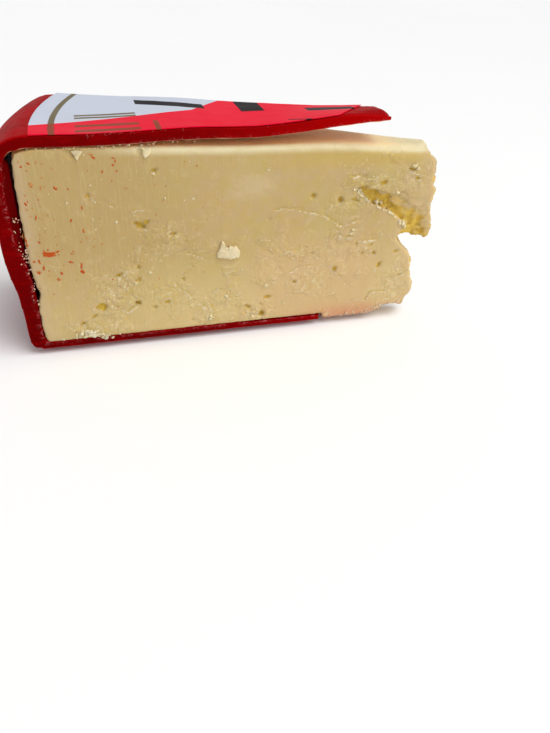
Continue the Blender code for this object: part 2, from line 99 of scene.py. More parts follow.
# Splits between curds on the front cut: points of x and z, the height of the step
FRONT_SPLITS = [
    ([(-0.0906, 0.0478), (-0.0898, 0.0465), (-0.0871, 0.0455), (-0.0848, 0.0441)], 0.00020),
    ([(-0.0892, 0.0457), (-0.0896, 0.0424), (-0.0903, 0.0397), (-0.0894, 0.0363)], 0.00010),
    ([(-0.0770, 0.0361), (-0.0776, 0.0303), (-0.0790, 0.0249), (-0.0796, 0.0200)], 0.00016),
    ([(-0.0787, 0.0423), (-0.0774, 0.0428), (-0.0753, 0.0423)], 0.00018),
    ([(-0.0848, 0.0219), (-0.0841, 0.0231), (-0.0828, 0.0230), (-0.0823, 0.0220)], 0.00020),
    ([(-0.0871, 0.0127), (-0.0852, 0.0115), (-0.0830, 0.0102), (-0.0812, 0.0114)], 0.00030),
    ([(-0.0873, 0.0157), (-0.0857, 0.0149), (-0.0838, 0.0140)], 0.00020),
    ([(-0.0922, 0.0065), (-0.0906, 0.0059), (-0.0891, 0.0063)], 0.00018),
    ([(-0.0912, 0.0187), (-0.0895, 0.0189), (-0.0874, 0.0203)], 0.00014),
    ([(-0.0675, 0.0176), (-0.0666, 0.0161), (-0.0647, 0.0152), (-0.0629, 0.0121),
      (-0.0610, 0.0111), (-0.0590, 0.0091), (-0.0567, 0.0088)], 0.00026),
    ([(-0.0570, 0.0083), (-0.0564, 0.0050), (-0.0587, 0.0033)], 0.00026),
    ([(-0.0574, 0.0144), (-0.0557, 0.0150), (-0.0538, 0.0150)], 0.00018),
    ([(-0.0657, 0.0286), (-0.0621, 0.0277), (-0.0590, 0.0260)], 0.00020),
    ([(-0.0590, 0.0260), (-0.0627, 0.0246), (-0.0660, 0.0209)], 0.00016),
    ([(-0.0524, 0.0106), (-0.0521, 0.0128), (-0.0511, 0.0116), (-0.0484, 0.0116)], 0.00022),
    ([(-0.0518, 0.0197), (-0.0506, 0.0202), (-0.0486, 0.0204), (-0.0467, 0.0217)], 0.00014),
    ([(-0.0456, 0.0064), (-0.0435, 0.0057), (-0.0414, 0.0055)], 0.00024),
    ([(-0.0424, 0.0303), (-0.0405, 0.0306), (-0.0392, 0.0310)], 0.00014),
    ([(-0.0372, 0.0404), (-0.0353, 0.0409), (-0.0301, 0.0401), (-0.0264, 0.0390)], 0.00022),
    ([(-0.0264, 0.0390), (-0.0216, 0.0378), (-0.0187, 0.0359), (-0.0164, 0.0341)], 0.00030),
    ([(-0.0164, 0.0341), (-0.0137, 0.0343), (-0.0111, 0.0351)], 0.00022),
    ([(-0.0249, 0.0437), (-0.0229, 0.0398), (-0.0213, 0.0374)], 0.00012),
    ([(-0.0182, 0.0323), (-0.0169, 0.0323), (-0.0154, 0.0305), (-0.0143, 0.0296),
      (-0.0127, 0.0297)], 0.00030),
    ([(-0.0095, 0.0285), (-0.0064, 0.0280), (-0.0037, 0.0281)], 0.00032),
    ([(-0.0158, 0.0178), (-0.0138, 0.0158), (-0.0121, 0.0135), (-0.0098, 0.0118)], 0.00022),
    ([(-0.0314, 0.0192), (-0.0296, 0.0200), (-0.0283, 0.0206), (-0.0257, 0.0207)], 0.00022),
    ([(-0.0320, 0.0266), (-0.0301, 0.0264), (-0.0284, 0.0253)], 0.00024),
    ([(-0.0252, 0.0254), (-0.0241, 0.0246), (-0.0221, 0.0235)], 0.00020),
    ([(-0.0349, 0.0098), (-0.0325, 0.0107), (-0.0309, 0.0117)], 0.00016),
    ([(-0.0206, 0.0568), (-0.0191, 0.0547), (-0.0170, 0.0532), (-0.0147, 0.0507)], 0.00014),
    ([(-0.0152, 0.0498), (-0.0133, 0.0500), (-0.0114, 0.0507), (-0.0103, 0.0499)], 0.00026),
    ([(-0.0085, 0.0495), (-0.0071, 0.0492), (-0.0060, 0.0503)], 0.00020),
    ([(-0.0027, 0.0070), (-0.0022, 0.0083), (-0.0009, 0.0089), (0.0032, 0.0085)], 0.00036),
    ([(-0.0083, 0.0061), (-0.0063, 0.0066), (-0.0033, 0.0059)], 0.00018),
    ([(0.0049, 0.0524), (0.0068, 0.0514), (0.0094, 0.0507)], 0.00026),
    ([(0.0065, 0.0139), (0.0086, 0.0144), (0.0100, 0.0147)], 0.00018),
]
# Torn, crumbly patches on the front cut: x, z, half width, half height, depth of the tearing
FRONT_TEARS = [
    (-0.0840, 0.0165, 0.0105, 0.0070, 0.00046), (-0.0700, 0.0140, 0.0080, 0.0055, 0.00030),
    (-0.0955, 0.0060, 0.0080, 0.0034, 0.00040), (-0.0440, 0.0065, 0.0085, 0.0042, 0.00042),
    (-0.0560, 0.0080, 0.0070, 0.0060, 0.00024), (-0.0090, 0.0475, 0.0090, 0.0040, 0.00046),
    (0.0060, 0.0485, 0.0070, 0.0055, 0.00040), (-0.0150, 0.0405, 0.0075, 0.0035, 0.00030),
    (-0.0055, 0.0255, 0.0050, 0.0035, 0.00024), (0.0070, 0.0120, 0.0070, 0.0085, 0.00036),
    (-0.0280, 0.0255, 0.0090, 0.0035, 0.00022), (-0.0710, 0.0345, 0.0070, 0.0050, 0.00022),
    (-0.0250, 0.0150, 0.0090, 0.0055, 0.00018), (-0.0155, 0.0305, 0.0050, 0.0030, 0.00024),
]
# Wax that the knife drew over the front cut: x, z, length, width, tilt in degrees, strength
WAX_FLECKS = [
    (-0.1058, 0.0555, 0.0007, 0.0004, -2, 0.9), (-0.1040, 0.0563, 0.0010, 0.0004, -36, 0.7),
    (-0.1020, 0.0565, 0.0009, 0.0004, 28, 0.5), (-0.1046, 0.0545, 0.0006, 0.0004, 8, 0.5),
    (-0.1043, 0.0509, 0.0011, 0.0007, -60, 0.7), (-0.1042, 0.0504, 0.0006, 0.0005, -3, 0.9),
    (-0.1020, 0.0499, 0.0010, 0.0004, 81, 0.7), (-0.0986, 0.0497, 0.0010, 0.0004, -64, 1.0),
    (-0.0982, 0.0495, 0.0007, 0.0004, 72, 0.8), (-0.0953, 0.0493, 0.0006, 0.0004, 73, 0.7),
    (-0.1061, 0.0481, 0.0005, 0.0004, -49, 0.5), (-0.1031, 0.0468, 0.0006, 0.0004, 81, 0.6),
    (-0.1064, 0.0457, 0.0010, 0.0004, -66, 0.9), (-0.1045, 0.0419, 0.0014, 0.0004, 79, 1.0),
    (-0.1057, 0.0423, 0.0005, 0.0004, -4, 0.4), (-0.0924, 0.0439, 0.0016, 0.0004, 85, 0.6),
    (-0.0957, 0.0406, 0.0011, 0.0004, 69, 0.8), (-0.0928, 0.0374, 0.0012, 0.0005, -88, 0.8),
    (-0.0938, 0.0341, 0.0008, 0.0004, 74, 0.6), (-0.0923, 0.0352, 0.0007, 0.0004, -69, 0.4),
    (-0.1047, 0.0348, 0.0010, 0.0004, -62, 0.8), (-0.1083, 0.0357, 0.0022, 0.0006, -77, 1.0),
    (-0.1080, 0.0342, 0.0007, 0.0007, -4, 0.9), (-0.0885, 0.0580, 0.0012, 0.0004, -2, 0.5),
    (-0.0879, 0.0572, 0.0011, 0.0005, -28, 0.9), (-0.0829, 0.0570, 0.0009, 0.0004, -2, 0.5),
    (-0.0825, 0.0561, 0.0011, 0.0004, -91, 0.7), (-0.0832, 0.0552, 0.0008, 0.0005, 8, 1.0),
    (-0.0861, 0.0535, 0.0007, 0.0004, 74, 0.8), (-0.0824, 0.0535, 0.0007, 0.0004, 80, 0.6),
    (-0.1039, 0.0313, 0.0012, 0.0015, -5, 1.0), (-0.1024, 0.0310, 0.0028, 0.0013, 0, 1.0),
    (-0.1007, 0.0317, 0.0016, 0.0005, 11, 0.9), (-0.1029, 0.0325, 0.0006, 0.0006, -5, 0.9),
    (-0.0963, 0.0315, 0.0007, 0.0004, -70, 0.6), (-0.0968, 0.0308, 0.0006, 0.0004, -5, 0.5),
    (-0.1071, 0.0291, 0.0008, 0.0006, 28, 0.8), (-0.1057, 0.0290, 0.0014, 0.0005, -77, 0.8),
    (-0.1049, 0.0269, 0.0017, 0.0005, 73, 0.9), (-0.1064, 0.0258, 0.0012, 0.0008, -11, 0.8),
    (-0.1036, 0.0260, 0.0005, 0.0004, -5, 0.5), (-0.1004, 0.0250, 0.0010, 0.0006, -57, 0.8),
    (-0.1014, 0.0230, 0.0010, 0.0009, -29, 0.9), (-0.0974, 0.0282, 0.0013, 0.0005, -11, 0.8),
    (-0.0947, 0.0268, 0.0020, 0.0005, 81, 1.0), (-0.0946, 0.0249, 0.0015, 0.0008, -61, 1.0),
]
# Flakes that stand up a little from the front cut: x, z, size
FLAKES = [
    (-0.0910, 0.0588, 0.0005), (-0.0739, 0.0591, 0.0005),
    (-0.0200, 0.0292, 0.0004), (-0.0115, 0.0322, 0.0005), (-0.0119, 0.0309, 0.0005),
    (-0.0012, 0.0299, 0.0004), (-0.0574, 0.0047, 0.0006), (-0.0521, 0.0124, 0.0007),
    (-0.0394, 0.0152, 0.0007), (-0.0434, 0.0042, 0.0007), (-0.0473, 0.0214, 0.0004),
    (-0.0035, 0.0400, 0.0009), (-0.0020, 0.0396, 0.0007), (0.0064, 0.0333, 0.0010),
    (0.0067, 0.0318, 0.0008), (-0.0104, 0.0443, 0.0009), (-0.0098, 0.0432, 0.0008),
    (0.0061, 0.0518, 0.0009), (0.0075, 0.0509, 0.0007), (0.0021, 0.0436, 0.0007),
    (-0.0621, 0.0449, 0.0004), (-0.0700, 0.0455, 0.0004), (-0.0728, 0.0525, 0.0005),
    (-0.0403, 0.0523, 0.0004), (-0.0961, 0.0455, 0.0003), (-0.0838, 0.0393, 0.0004),
    (-0.0755, 0.0229, 0.0006), (-0.0572, 0.0056, 0.0006), (-0.0330, 0.0078, 0.0006),
]
# Outline of the broken nose on the front cut, from the top down
NOSE_OUTLINE = [
    (0.0062, 0.0640), (0.0086, 0.0597), (0.0105, 0.0575), (0.0122, 0.0559), (0.0130, 0.0537),
    (0.0134, 0.0510), (0.0135, 0.0475), (0.0148, 0.0451), (0.0145, 0.0414), (0.0151, 0.0366),
    (0.0154, 0.0315), (0.0153, 0.0288), (0.0130, 0.0282), (0.0094, 0.0293), (0.0060, 0.0300),
    (0.0046, 0.0294), (0.0046, 0.0278), (0.0063, 0.0257), (0.0091, 0.0232), (0.0110, 0.0200),
    (0.0119, 0.0145), (0.0137, 0.0094), (0.0135, 0.0068), (0.0120, 0.0054), (0.0113, 0.0024),
    (0.0090, 0.0030), (0.0052, 0.0031), (0.0017, 0.0022), (-0.0008, -0.0004), (-0.0052, -0.0020),
]
# Outline of the hollow that broke out of the front of the nose
HOLLOW_OUTLINE = [
    (-0.0122, 0.0458), (-0.0083, 0.0427), (-0.0053, 0.0404), (-0.0004, 0.0385), (0.0046, 0.0348),
    (0.0073, 0.0322), (0.0060, 0.0280), (0.0260, 0.0250), (0.0260, 0.0415), (0.0088, 0.0424),
    (0.0059, 0.0430), (0.0040, 0.0450), (0.0016, 0.0436), (-0.0026, 0.0447), (-0.0062, 0.0457),
    (-0.0093, 0.0468),
]
# Flat broken chips that stick to the front cut: x, z, thickness, outline about that place
CHIPS = [
    (-0.0521, 0.0283, 0.0009, [
        (-0.0019, 0.0033), (-0.0011, 0.0030), (-0.0007, 0.0014), (0.0003, 0.0009),
        (0.0007, 0.0016), (0.0016, 0.0012), (0.0027, 0.0012), (0.0038, -0.0002),
        (0.0040, -0.0013), (0.0036, -0.0024), (0.0022, -0.0026), (0.0008, -0.0029),
        (-0.0003, -0.0024), (-0.0019, -0.0022), (-0.0033, -0.0019), (-0.0031, -0.0007),
        (-0.0028, 0.0003), (-0.0023, 0.0012),
    ]),
    (-0.0920, 0.0580, 0.0005, [
        (-0.0014, 0.0009), (0.0004, 0.0012), (0.0015, 0.0008), (0.0006, -0.0003),
        (0.0001, -0.0014), (-0.0005, -0.0005),
    ]),
    (-0.0745, 0.0582, 0.0005, [
        (-0.0014, 0.0014), (-0.0008, 0.0008), (-0.0007, -0.0008), (-0.0002, -0.0015),
        (0.0008, -0.0007), (0.0016, 0.0004), (0.0017, 0.0012), (0.0004, 0.0009),
    ]),
]
# Plain bars of print on the label: x from and to, y from and to, slope, whether it is gold
LABEL_BARS = [
    (-0.0740, -0.0550, 0.0205, 0.0256, -0.46, False),
    (-0.0450, -0.0380, 0.0083, 0.0250, 0.0, False),
    (-0.0260, -0.0125, 0.0040, 0.0085, -0.28, False),
    (-0.0346, -0.0281, -0.0041, -0.0033, -0.45, False),
    (-0.0915, -0.0750, 0.0102, 0.0118, 0.0, True),
    (-0.0915, -0.0750, 0.0076, 0.0092, 0.0, True),
    (-0.0915, -0.0750, -0.0008, 0.0014, 0.0, True),
    (-0.0915, -0.0750, -0.0054, -0.0032, 0.0, True),
    (-0.0713, -0.0699, -0.0062, 0.0018, 0.0, True),
]


class WheelSizes(PropertyGroup):
    """Sizes of the wheel and of the two cuts."""

    wax_radius: FloatProperty(
        name="Wax radius", description="Outer radius of the wax", default=0.1156, unit="LENGTH"
    )
    wax_height: FloatProperty(
        name="Wax height", description="Height of the waxed wheel", default=0.0630, unit="LENGTH"
    )
    lid_thickness: FloatProperty(
        name="Lid thickness", description="Thickness of the wax lid", default=0.0032, unit="LENGTH"
    )
    floor_thickness: FloatProperty(
        name="Floor thickness", description="Wax under the cheese", default=0.0020, unit="LENGTH"
    )
    front_cut: FloatProperty(
        name="Front cut", description="From the axis to the front cut", default=0.0062,
        unit="LENGTH",
    )
    apex: FloatProperty(
        name="Apex", description="Where the cuts meet, beyond the axis", default=0.0300,
        unit="LENGTH",
    )
    cut_angle: FloatProperty(
        name="Cut angle", description="Angle between the cuts", default=math.radians(19.3),
        subtype="ANGLE",
    )
    lid_end: FloatProperty(
        name="Lid end", description="Where the lid has broken off", default=-0.0040, unit="LENGTH"
    )
    floor_end: FloatProperty(
        name="Floor end", description="Where the wax floor ends", default=-0.0195, unit="LENGTH"
    )
    lid_slant: FloatProperty(
        name="Lid slant", description="How the lid's broken end leans", default=math.radians(-6),
        subtype="ANGLE",
    )
    floor_slant: FloatProperty(
        name="Floor slant", description="How the wax floor's end leans",
        default=math.radians(-12), subtype="ANGLE",
    )
    lift_even: FloatProperty(
        name="Even lift", description="Lift of the middle of the lid", default=0.0012,
        unit="LENGTH",
    )
    lift_curl: FloatProperty(
        name="Curl", description="Further lift at the lid's end", default=0.0040, unit="LENGTH"
    )
    tip_drop: FloatProperty(
        name="Tip drop", description="How far the lid thins to its tip", default=0.0016,
        unit="LENGTH",
    )
    label_radius: FloatProperty(
        name="Label radius", description="Outer radius of the label", default=0.1030,
        unit="LENGTH",
    )
    label_end: FloatProperty(
        name="Label end", description="Where the label ends", default=-0.0202, unit="LENGTH"
    )
    label_slant: FloatProperty(
        name="Label slant", description="How far the label's end leans, per metre", default=0.90
    )


class CheeseLook(PropertyGroup):
    """Colours and relief of the cheese."""

    body: FloatVectorProperty(
        name="Body", description="Main colour of the cut cheese", subtype="COLOR",
        default=(0.520, 0.388, 0.158),
    )
    # Painted shade: the darker colour over the upper left of the cut
    upper_left_shade: FloatVectorProperty(
        name="Rind side", description="Duller cheese towards the rind", subtype="COLOR",
        default=(0.475, 0.330, 0.128),
    )
    warm: FloatVectorProperty(
        name="Warm patches", description="Beige patches in the middle", subtype="COLOR",
        default=(0.525, 0.370, 0.172),
    )
    # Painted light: the lighter colour along the bottom, as lit from the floor; towards the nose it is
    # painted light too, with a rosier tint
    low: FloatVectorProperty(
        name="Low down", description="Lighter cheese along the bottom", subtype="COLOR",
        default=(0.650, 0.492, 0.225),
    )
    # Also the colour of the painted highlights on torn edges and chips
    pale: FloatVectorProperty(
        name="Pale places", description="Dry, rubbed places and edges", subtype="COLOR",
        default=(0.740, 0.625, 0.370),
    )
    # Painted shade: the gold laid into pits, grooves, torn hollows and the broken nose's low facets
    deep: FloatVectorProperty(
        name="Deep", description="Moist cheese in the hollows", subtype="COLOR",
        default=(0.640, 0.420, 0.040),
    )
    voxel: FloatProperty(
        name="Fineness", description="Size of the mesh's faces", default=0.00053, unit="LENGTH"
    )
    curd: FloatProperty(
        name="Curd size", description="Size of the pieces that broke", default=0.0050,
        unit="LENGTH",
    )


class CrumbLook(PropertyGroup):
    """Colours and number of the loose crumbs and of the wax flecks."""

    cream: FloatVectorProperty(
        name="Cream", description="Loose crumbs on the cheese", subtype="COLOR",
        default=(0.720, 0.610, 0.370),
    )
    pink: FloatVectorProperty(
        name="Pink", description="Crumbs that rubbed against the wax", subtype="COLOR",
        default=(0.640, 0.330, 0.270),
    )
    fleck: FloatVectorProperty(
        name="Fleck", description="Wax drawn over the cut", subtype="COLOR",
        default=(0.470, 0.070, 0.004),
    )
    faint: FloatVectorProperty(
        name="Faint fleck", description="A thin film of wax", subtype="COLOR",
        default=(0.500, 0.270, 0.085),
    )
    count: IntProperty(
        name="Specks", description="Tiny specks strewn over the cut", default=110, min=0
    )


class WaxLook(PropertyGroup):
    """Colours and relief of the wax."""

    body: FloatVectorProperty(
        name="Body", description="Colour of the wax", subtype="COLOR",
        default=(0.360, 0.0006, 0.0020),
    )
    cut: FloatVectorProperty(
        name="Cut", description="Colour of the wax where it is cut", subtype="COLOR",
        default=(0.165, 0.0002, 0.0006),
    )
    # Painted light: the lighter cut towards the lid's tip
    tip: FloatVectorProperty(
        name="Tip", description="Colour of the cut towards the lid's tip", subtype="COLOR",
        default=(0.400, 0.0002, 0.0008),
    )
    # Painted shade: the dark wax inside the gap and on the inner wall
    inside: FloatVectorProperty(
        name="Inside", description="Colour inside the gap", subtype="COLOR",
        default=(0.120, 0.0004, 0.0008),
    )
    # Pale dust and cheese on the wax, and the colour of the painted glints on the cut
    dust_and_glints: FloatVectorProperty(
        name="Bloom", description="Pale dust and cheese on the wax", subtype="COLOR",
        default=(0.560, 0.200, 0.200),
    )
    voxel: FloatProperty(
        name="Fineness", description="Size of the mesh's faces", default=0.00062, unit="LENGTH"
    )
    wave: FloatProperty(
        name="Dents", description="Height of the shallow dents", default=0.0007, unit="LENGTH"
    )


class LabelLook(PropertyGroup):
    """Colours of the printed label."""

    # Painted shade: the unprinted field is a bluish grey, as white paper lit by the sky
    white: FloatVectorProperty(
        name="White", description="Unprinted field", subtype="COLOR", default=(0.56, 0.60, 0.69)
    )
    red: FloatVectorProperty(
        name="Red", description="Red field", subtype="COLOR", default=(0.79, 0.0018, 0.026)
    )
    gold: FloatVectorProperty(
        name="Gold", description="Gold ring and bars", subtype="COLOR",
        default=(0.165, 0.130, 0.068),
    )
    gold_on_red: FloatVectorProperty(
        name="Gold on red", description="Gold bars over the red field", subtype="COLOR",
        default=(0.270, 0.050, 0.020),
    )
    black: FloatVectorProperty(
        name="Black", description="Black bars", subtype="COLOR", default=(0.010, 0.006, 0.007)
    )
    fibre: FloatVectorProperty(
        name="Fibre", description="Torn paper along the cut edge", subtype="COLOR",
        default=(0.46, 0.10, 0.11),
    )


class StageLook(PropertyGroup):
    """Light and floor."""

    floor: FloatVectorProperty(
        name="Floor", description="Colour of the floor", subtype="COLOR", default=(0.93, 0.93, 0.93)
    )
    sky: FloatProperty(name="Sky", description="Strength of the soft light", default=0.42)
    sun: FloatProperty(name="Sun", description="Strength of the wide, soft sun", default=2.20)
    softness: FloatProperty(
        name="Softness", description="How wide the sun is", default=math.radians(50),
        subtype="ANGLE",
    )
    fill: FloatProperty(
        name="Fill", description="Power of the front lamp", default=1.2, subtype="POWER"
    )


def axis_place():
    """Where the wheel's axis stands: the label's rim and front edge tell."""
    wheel = bpy.context.scene.cheese_wheel
    return Vector((LABEL_LOW.x + wheel.label_radius, LABEL_LOW.y + wheel.front_cut, 0.0))


def smooth(low, high, values):
    """A soft step from 0 at low to 1 at high, for a number or an array."""
    share = np.clip((values - low) / (high - low), 0.0, 1.0)
    return share * share * (3.0 - 2.0 * share)


def lid_lift(wheel, x, y):
    """How far the lid has risen at each place. Its curl is strongest along the front cut."""
    curl = wheel.lift_curl * smooth(-0.048, 0.0, x)
    curl = curl * (1.0 - 37.0 * np.clip(y + wheel.front_cut, 0.0, 0.018))
    return wheel.lift_even * smooth(-0.096, -0.056, x) + curl


def tip_drop(wheel, x, y):
    """How far the lid's upper side falls away beyond the label, most at the front corner."""
    behind = y + wheel.front_cut
    label_end = wheel.label_end + wheel.label_slant * behind
    even = wheel.tip_drop * smooth(0.0, 0.0165, x - label_end) * (1.0 - 0.75 * smooth(0.0, 0.005, behind))
    return even + 0.0009 * smooth(-0.0022, 0.0002, x - wheel.lid_end - 0.1 * behind)


def cheese_top(wheel):
    """Height of the cheese's top before it settled."""
    return wheel.wax_height - wheel.lid_thickness - 0.0001


def top_sag(x):
    """How far the cheese's top has settled."""
    return 0.0008 * smooth(-0.085, -0.045, x) + 0.0012 * smooth(-0.025, 0.010, x)


def add_object(name, mesh):
    made = bpy.data.objects.new(name, mesh)
    bpy.context.scene.collection.objects.link(made)
    return made


def object_from(form, name):
    """Turns a finished form into an object of its own."""
    mesh = bpy.data.meshes.new(name)
    form.to_mesh(mesh)
    form.free()
    return add_object(name, mesh)


def remove_object(obj):
    mesh = obj.data
    bpy.data.objects.remove(obj, do_unlink=True)
    bpy.data.meshes.remove(mesh)


def apply_modifiers(obj):
    """Replaces the object's mesh by its evaluated one."""
    bpy.context.view_layer.update()
    evaluated = obj.evaluated_get(bpy.context.evaluated_depsgraph_get())
    mesh = bpy.data.meshes.new_from_object(evaluated)
    old = obj.data
    obj.modifiers.clear()
    obj.data = mesh
    bpy.data.meshes.remove(old)


def combine(target, tool, operation):
    """Joins, cuts or keeps the overlap of two solids, and removes the tool."""
    modifier = target.modifiers.new(operation.lower(), "BOOLEAN")
    modifier.operation = operation
    modifier.solver = "EXACT"
    modifier.object = tool
    apply_modifiers(target)
    remove_object(tool)


def remesh(obj, size):
    modifier = obj.modifiers.new("even_faces", "REMESH")
    modifier.mode = "VOXEL"
    modifier.voxel_size = size
    modifier.adaptivity = 0.0
    apply_modifiers(obj)


def smooth_line(points, steps=4):
    """The points of a Catmull-Rom curve through these ones."""
    ends = [points[0], *points, points[-1]]
    found = []
    for i in range(1, len(ends) - 2):
        before, start, end, after = (Vector(p) for p in ends[i - 1 : i + 3])
        for k in range(steps):
            t = k / steps
            bend = (2 * before - 5 * start + 4 * end - after) * t**2
            turn = (3 * start - before - 3 * end + after) * t**3
            found.append(0.5 * (2 * start + (end - before) * t + bend + turn))
    found.append(Vector(points[-1]))
    return found


def roughened(points, amount):
    """The same line with small random steps."""
    draw = random.Random(5)
    return [(p[0] + draw.gauss(0.0, amount), p[1] + draw.gauss(0.0, amount)) for p in points]


def level_run(radius, height, pieces):
    return [(radius * i / pieces, height) for i in range(pieces)]


def revolve(name, outline):
    """Turns a profile of radius and height, from the axis out and back, round the wheel's axis."""
    mesh = bpy.data.meshes.new(name)
    corners = [(radius, 0.0, height) for radius, height in outline]
    mesh.from_pydata(corners, [(i, i + 1) for i in range(len(corners) - 1)], [])
    made = add_object(name, mesh)
    turned = made.modifiers.new("turned", "SCREW")
    turned.axis = "Z"
    turned.steps = turned.render_steps = TURN_STEPS
    turned.use_merge_vertices = True
    turned.merge_threshold = 0.00002
    apply_modifiers(made)
    return made


def outline_solid(name, points, thickness):
    """A flat outline in X and Y, thickened evenly about Z = 0."""
    form = bmesh.new()
    lower = [form.verts.new((x, y, -thickness / 2)) for x, y in points]
    upper = [form.verts.new((x, y, thickness / 2)) for x, y in points]
    form.faces.new(lower)
    form.faces.new(upper)
    for i in range(len(points)):
        k = (i + 1) % len(points)
        form.faces.new((lower[i], lower[k], upper[k], upper[i]))
    bmesh.ops.recalc_face_normals(form, faces=form.faces)
    bmesh.ops.triangulate(form, faces=form.faces)
    return object_from(form, name)


def knife_wedge(wheel):
    """The prism between the two knife cuts, taller than the wheel."""
    reach = 0.20
    apex = Vector((wheel.apex, -wheel.front_cut))
    front = apex + Vector((-reach, 0.0))
    back = apex + reach * Vector((-math.cos(wheel.cut_angle), math.sin(wheel.cut_angle)))
    return outline_solid("knife_wedge", [apex, back, front], 0.40)


def back_facing(wheel):
    """The way that the back cut faces."""
    return np.array((math.sin(wheel.cut_angle), math.cos(wheel.cut_angle), 0.0))


def block(name, outline, low, high):
    """A block with this outline in X and Y between two heights."""
    made = outline_solid(name, outline, high - low)
    made.data.transform(Matrix.Translation((0.0, 0.0, (high + low) / 2)))
    return made


def points_of(mesh):
    flat = np.empty(len(mesh.vertices) * 3)
    mesh.vertices.foreach_get("co", flat)
    return flat.reshape(-1, 3)


def normals_of(mesh):
    flat = np.empty(len(mesh.vertices) * 3, np.float32)
    mesh.vertex_normals.foreach_get("vector", flat)
    return flat.reshape(-1, 3).astype(float)


def set_points(mesh, points):
    mesh.vertices.foreach_set("co", points.astype(np.float32).ravel())
    mesh.update()


def set_mask(mesh, name, values):
    """Stores a number for each vertex, which the material reads."""
    made = mesh.attributes.new(name, "FLOAT", "POINT")
    made.data.foreach_set("value", values.astype(np.float32))


def noise_field(points, size, offset=0.0):
    """Smooth noise from about -1 to 1 at each point, with waves of this size."""
    shift = Vector((offset, offset * 0.7, -offset * 1.3))
    return np.array([noise.noise(Vector(p) / size + shift) for p in points])


def curd_field(points, size):
    """Rounded pieces: 0 between the pieces' centres, about 1 at the centres."""
    found = np.empty(len(points))
    for i, p in enumerate(points):
        nearest, _ = noise.voronoi(Vector(p) / size)
        found[i] = 1.0 - min(1.0, nearest[0])
    return found


def facet_field(points, size, offset=0.0):
    """Flat pieces that each stand at a height of their own, from 0 to 1, and how near a seam is."""
    shift = Vector((offset, -offset, offset * 0.5))
    height = np.empty(len(points))
    seam = np.empty(len(points))
    for i, p in enumerate(points):
        away, places = noise.voronoi(Vector(p) / size + shift)
        slope = noise.cell_vector(places[0] * 7.0) - Vector((0.5, 0.5, 0.5))
        lean = (Vector(p) / size + shift - places[0]).dot(slope)
        height[i] = 0.5 + 0.5 * noise.cell(places[0] * 5.0) + 0.9 * lean
        seam[i] = max(0.0, 1.0 - (away[1] - away[0]) * 6.0)
    return height, seam


def patch_reach(u, v, mark, corners):
    """Distance from a patch's middle, where 1 is its rim. Below 2, its four ends are pointed."""
    x, z, width, height, tilt = mark[:5]
    turn = math.radians(tilt)
    du = u - x
    dv = v - z
    along = np.abs(du * math.cos(turn) + dv * math.sin(turn)) / (width / 2)
    across = np.abs(dv * math.cos(turn) - du * math.sin(turn)) / (height / 2)
    return (along**corners + across**corners) ** (1.0 / corners)


def line_reach(u, v, line):
    """Distance from a broken line, and on which side of it each point lies."""
    best = np.full(len(u), 1.0)
    side = np.zeros(len(u))
    for (x0, z0), (x1, z1) in zip(line[:-1], line[1:]):
        along_u, along_v = x1 - x0, z1 - z0
        length = math.hypot(along_u, along_v)
        share = np.clip(((u - x0) * along_u + (v - z0) * along_v) / length**2, 0.0, 1.0)
        away = np.hypot(u - x0 - share * along_u, v - z0 - share * along_v)
        turned = ((u - x0) * along_v - (v - z0) * along_u) / length
        closer = away < best
        best = np.where(closer, away, best)
        side = np.where(closer, turned, side)
    return best, side


def back_marks():
    """Pits, splits and tears for the back cut, scattered as on the front."""
    draw = random.Random(11)
    pits, splits, tears = [], [], []
    for _ in range(30):
        u = draw.uniform(-0.135, -0.025)
        v = draw.uniform(0.006, 0.054)
        wide = draw.uniform(0.0012, 0.0034)
        tall = draw.uniform(0.0010, 0.0020)
        pits.append((u, v, wide, tall, draw.uniform(-40, 40), draw.uniform(0.0008, 0.0019)))
    for _ in range(28):
        line = [(draw.uniform(-0.135, -0.030), draw.uniform(0.006, 0.052))]
        heading = draw.uniform(-0.8, 0.8)
        for _ in range(draw.randint(2, 4)):
            heading += draw.uniform(-0.6, 0.6)
            step = draw.uniform(0.0012, 0.0030)
            u, v = line[-1]
            line.append((u + step * math.cos(heading), v + step * math.sin(heading)))
        splits.append((line, draw.uniform(0.00014, 0.00028)))
    for _ in range(9):
        u = draw.uniform(-0.130, -0.030)
        v = draw.uniform(0.008, 0.050)
        tears.append((u, v, draw.uniform(0.005, 0.010), draw.uniform(0.003, 0.006), 0.0003))
    return pits, splits, tears


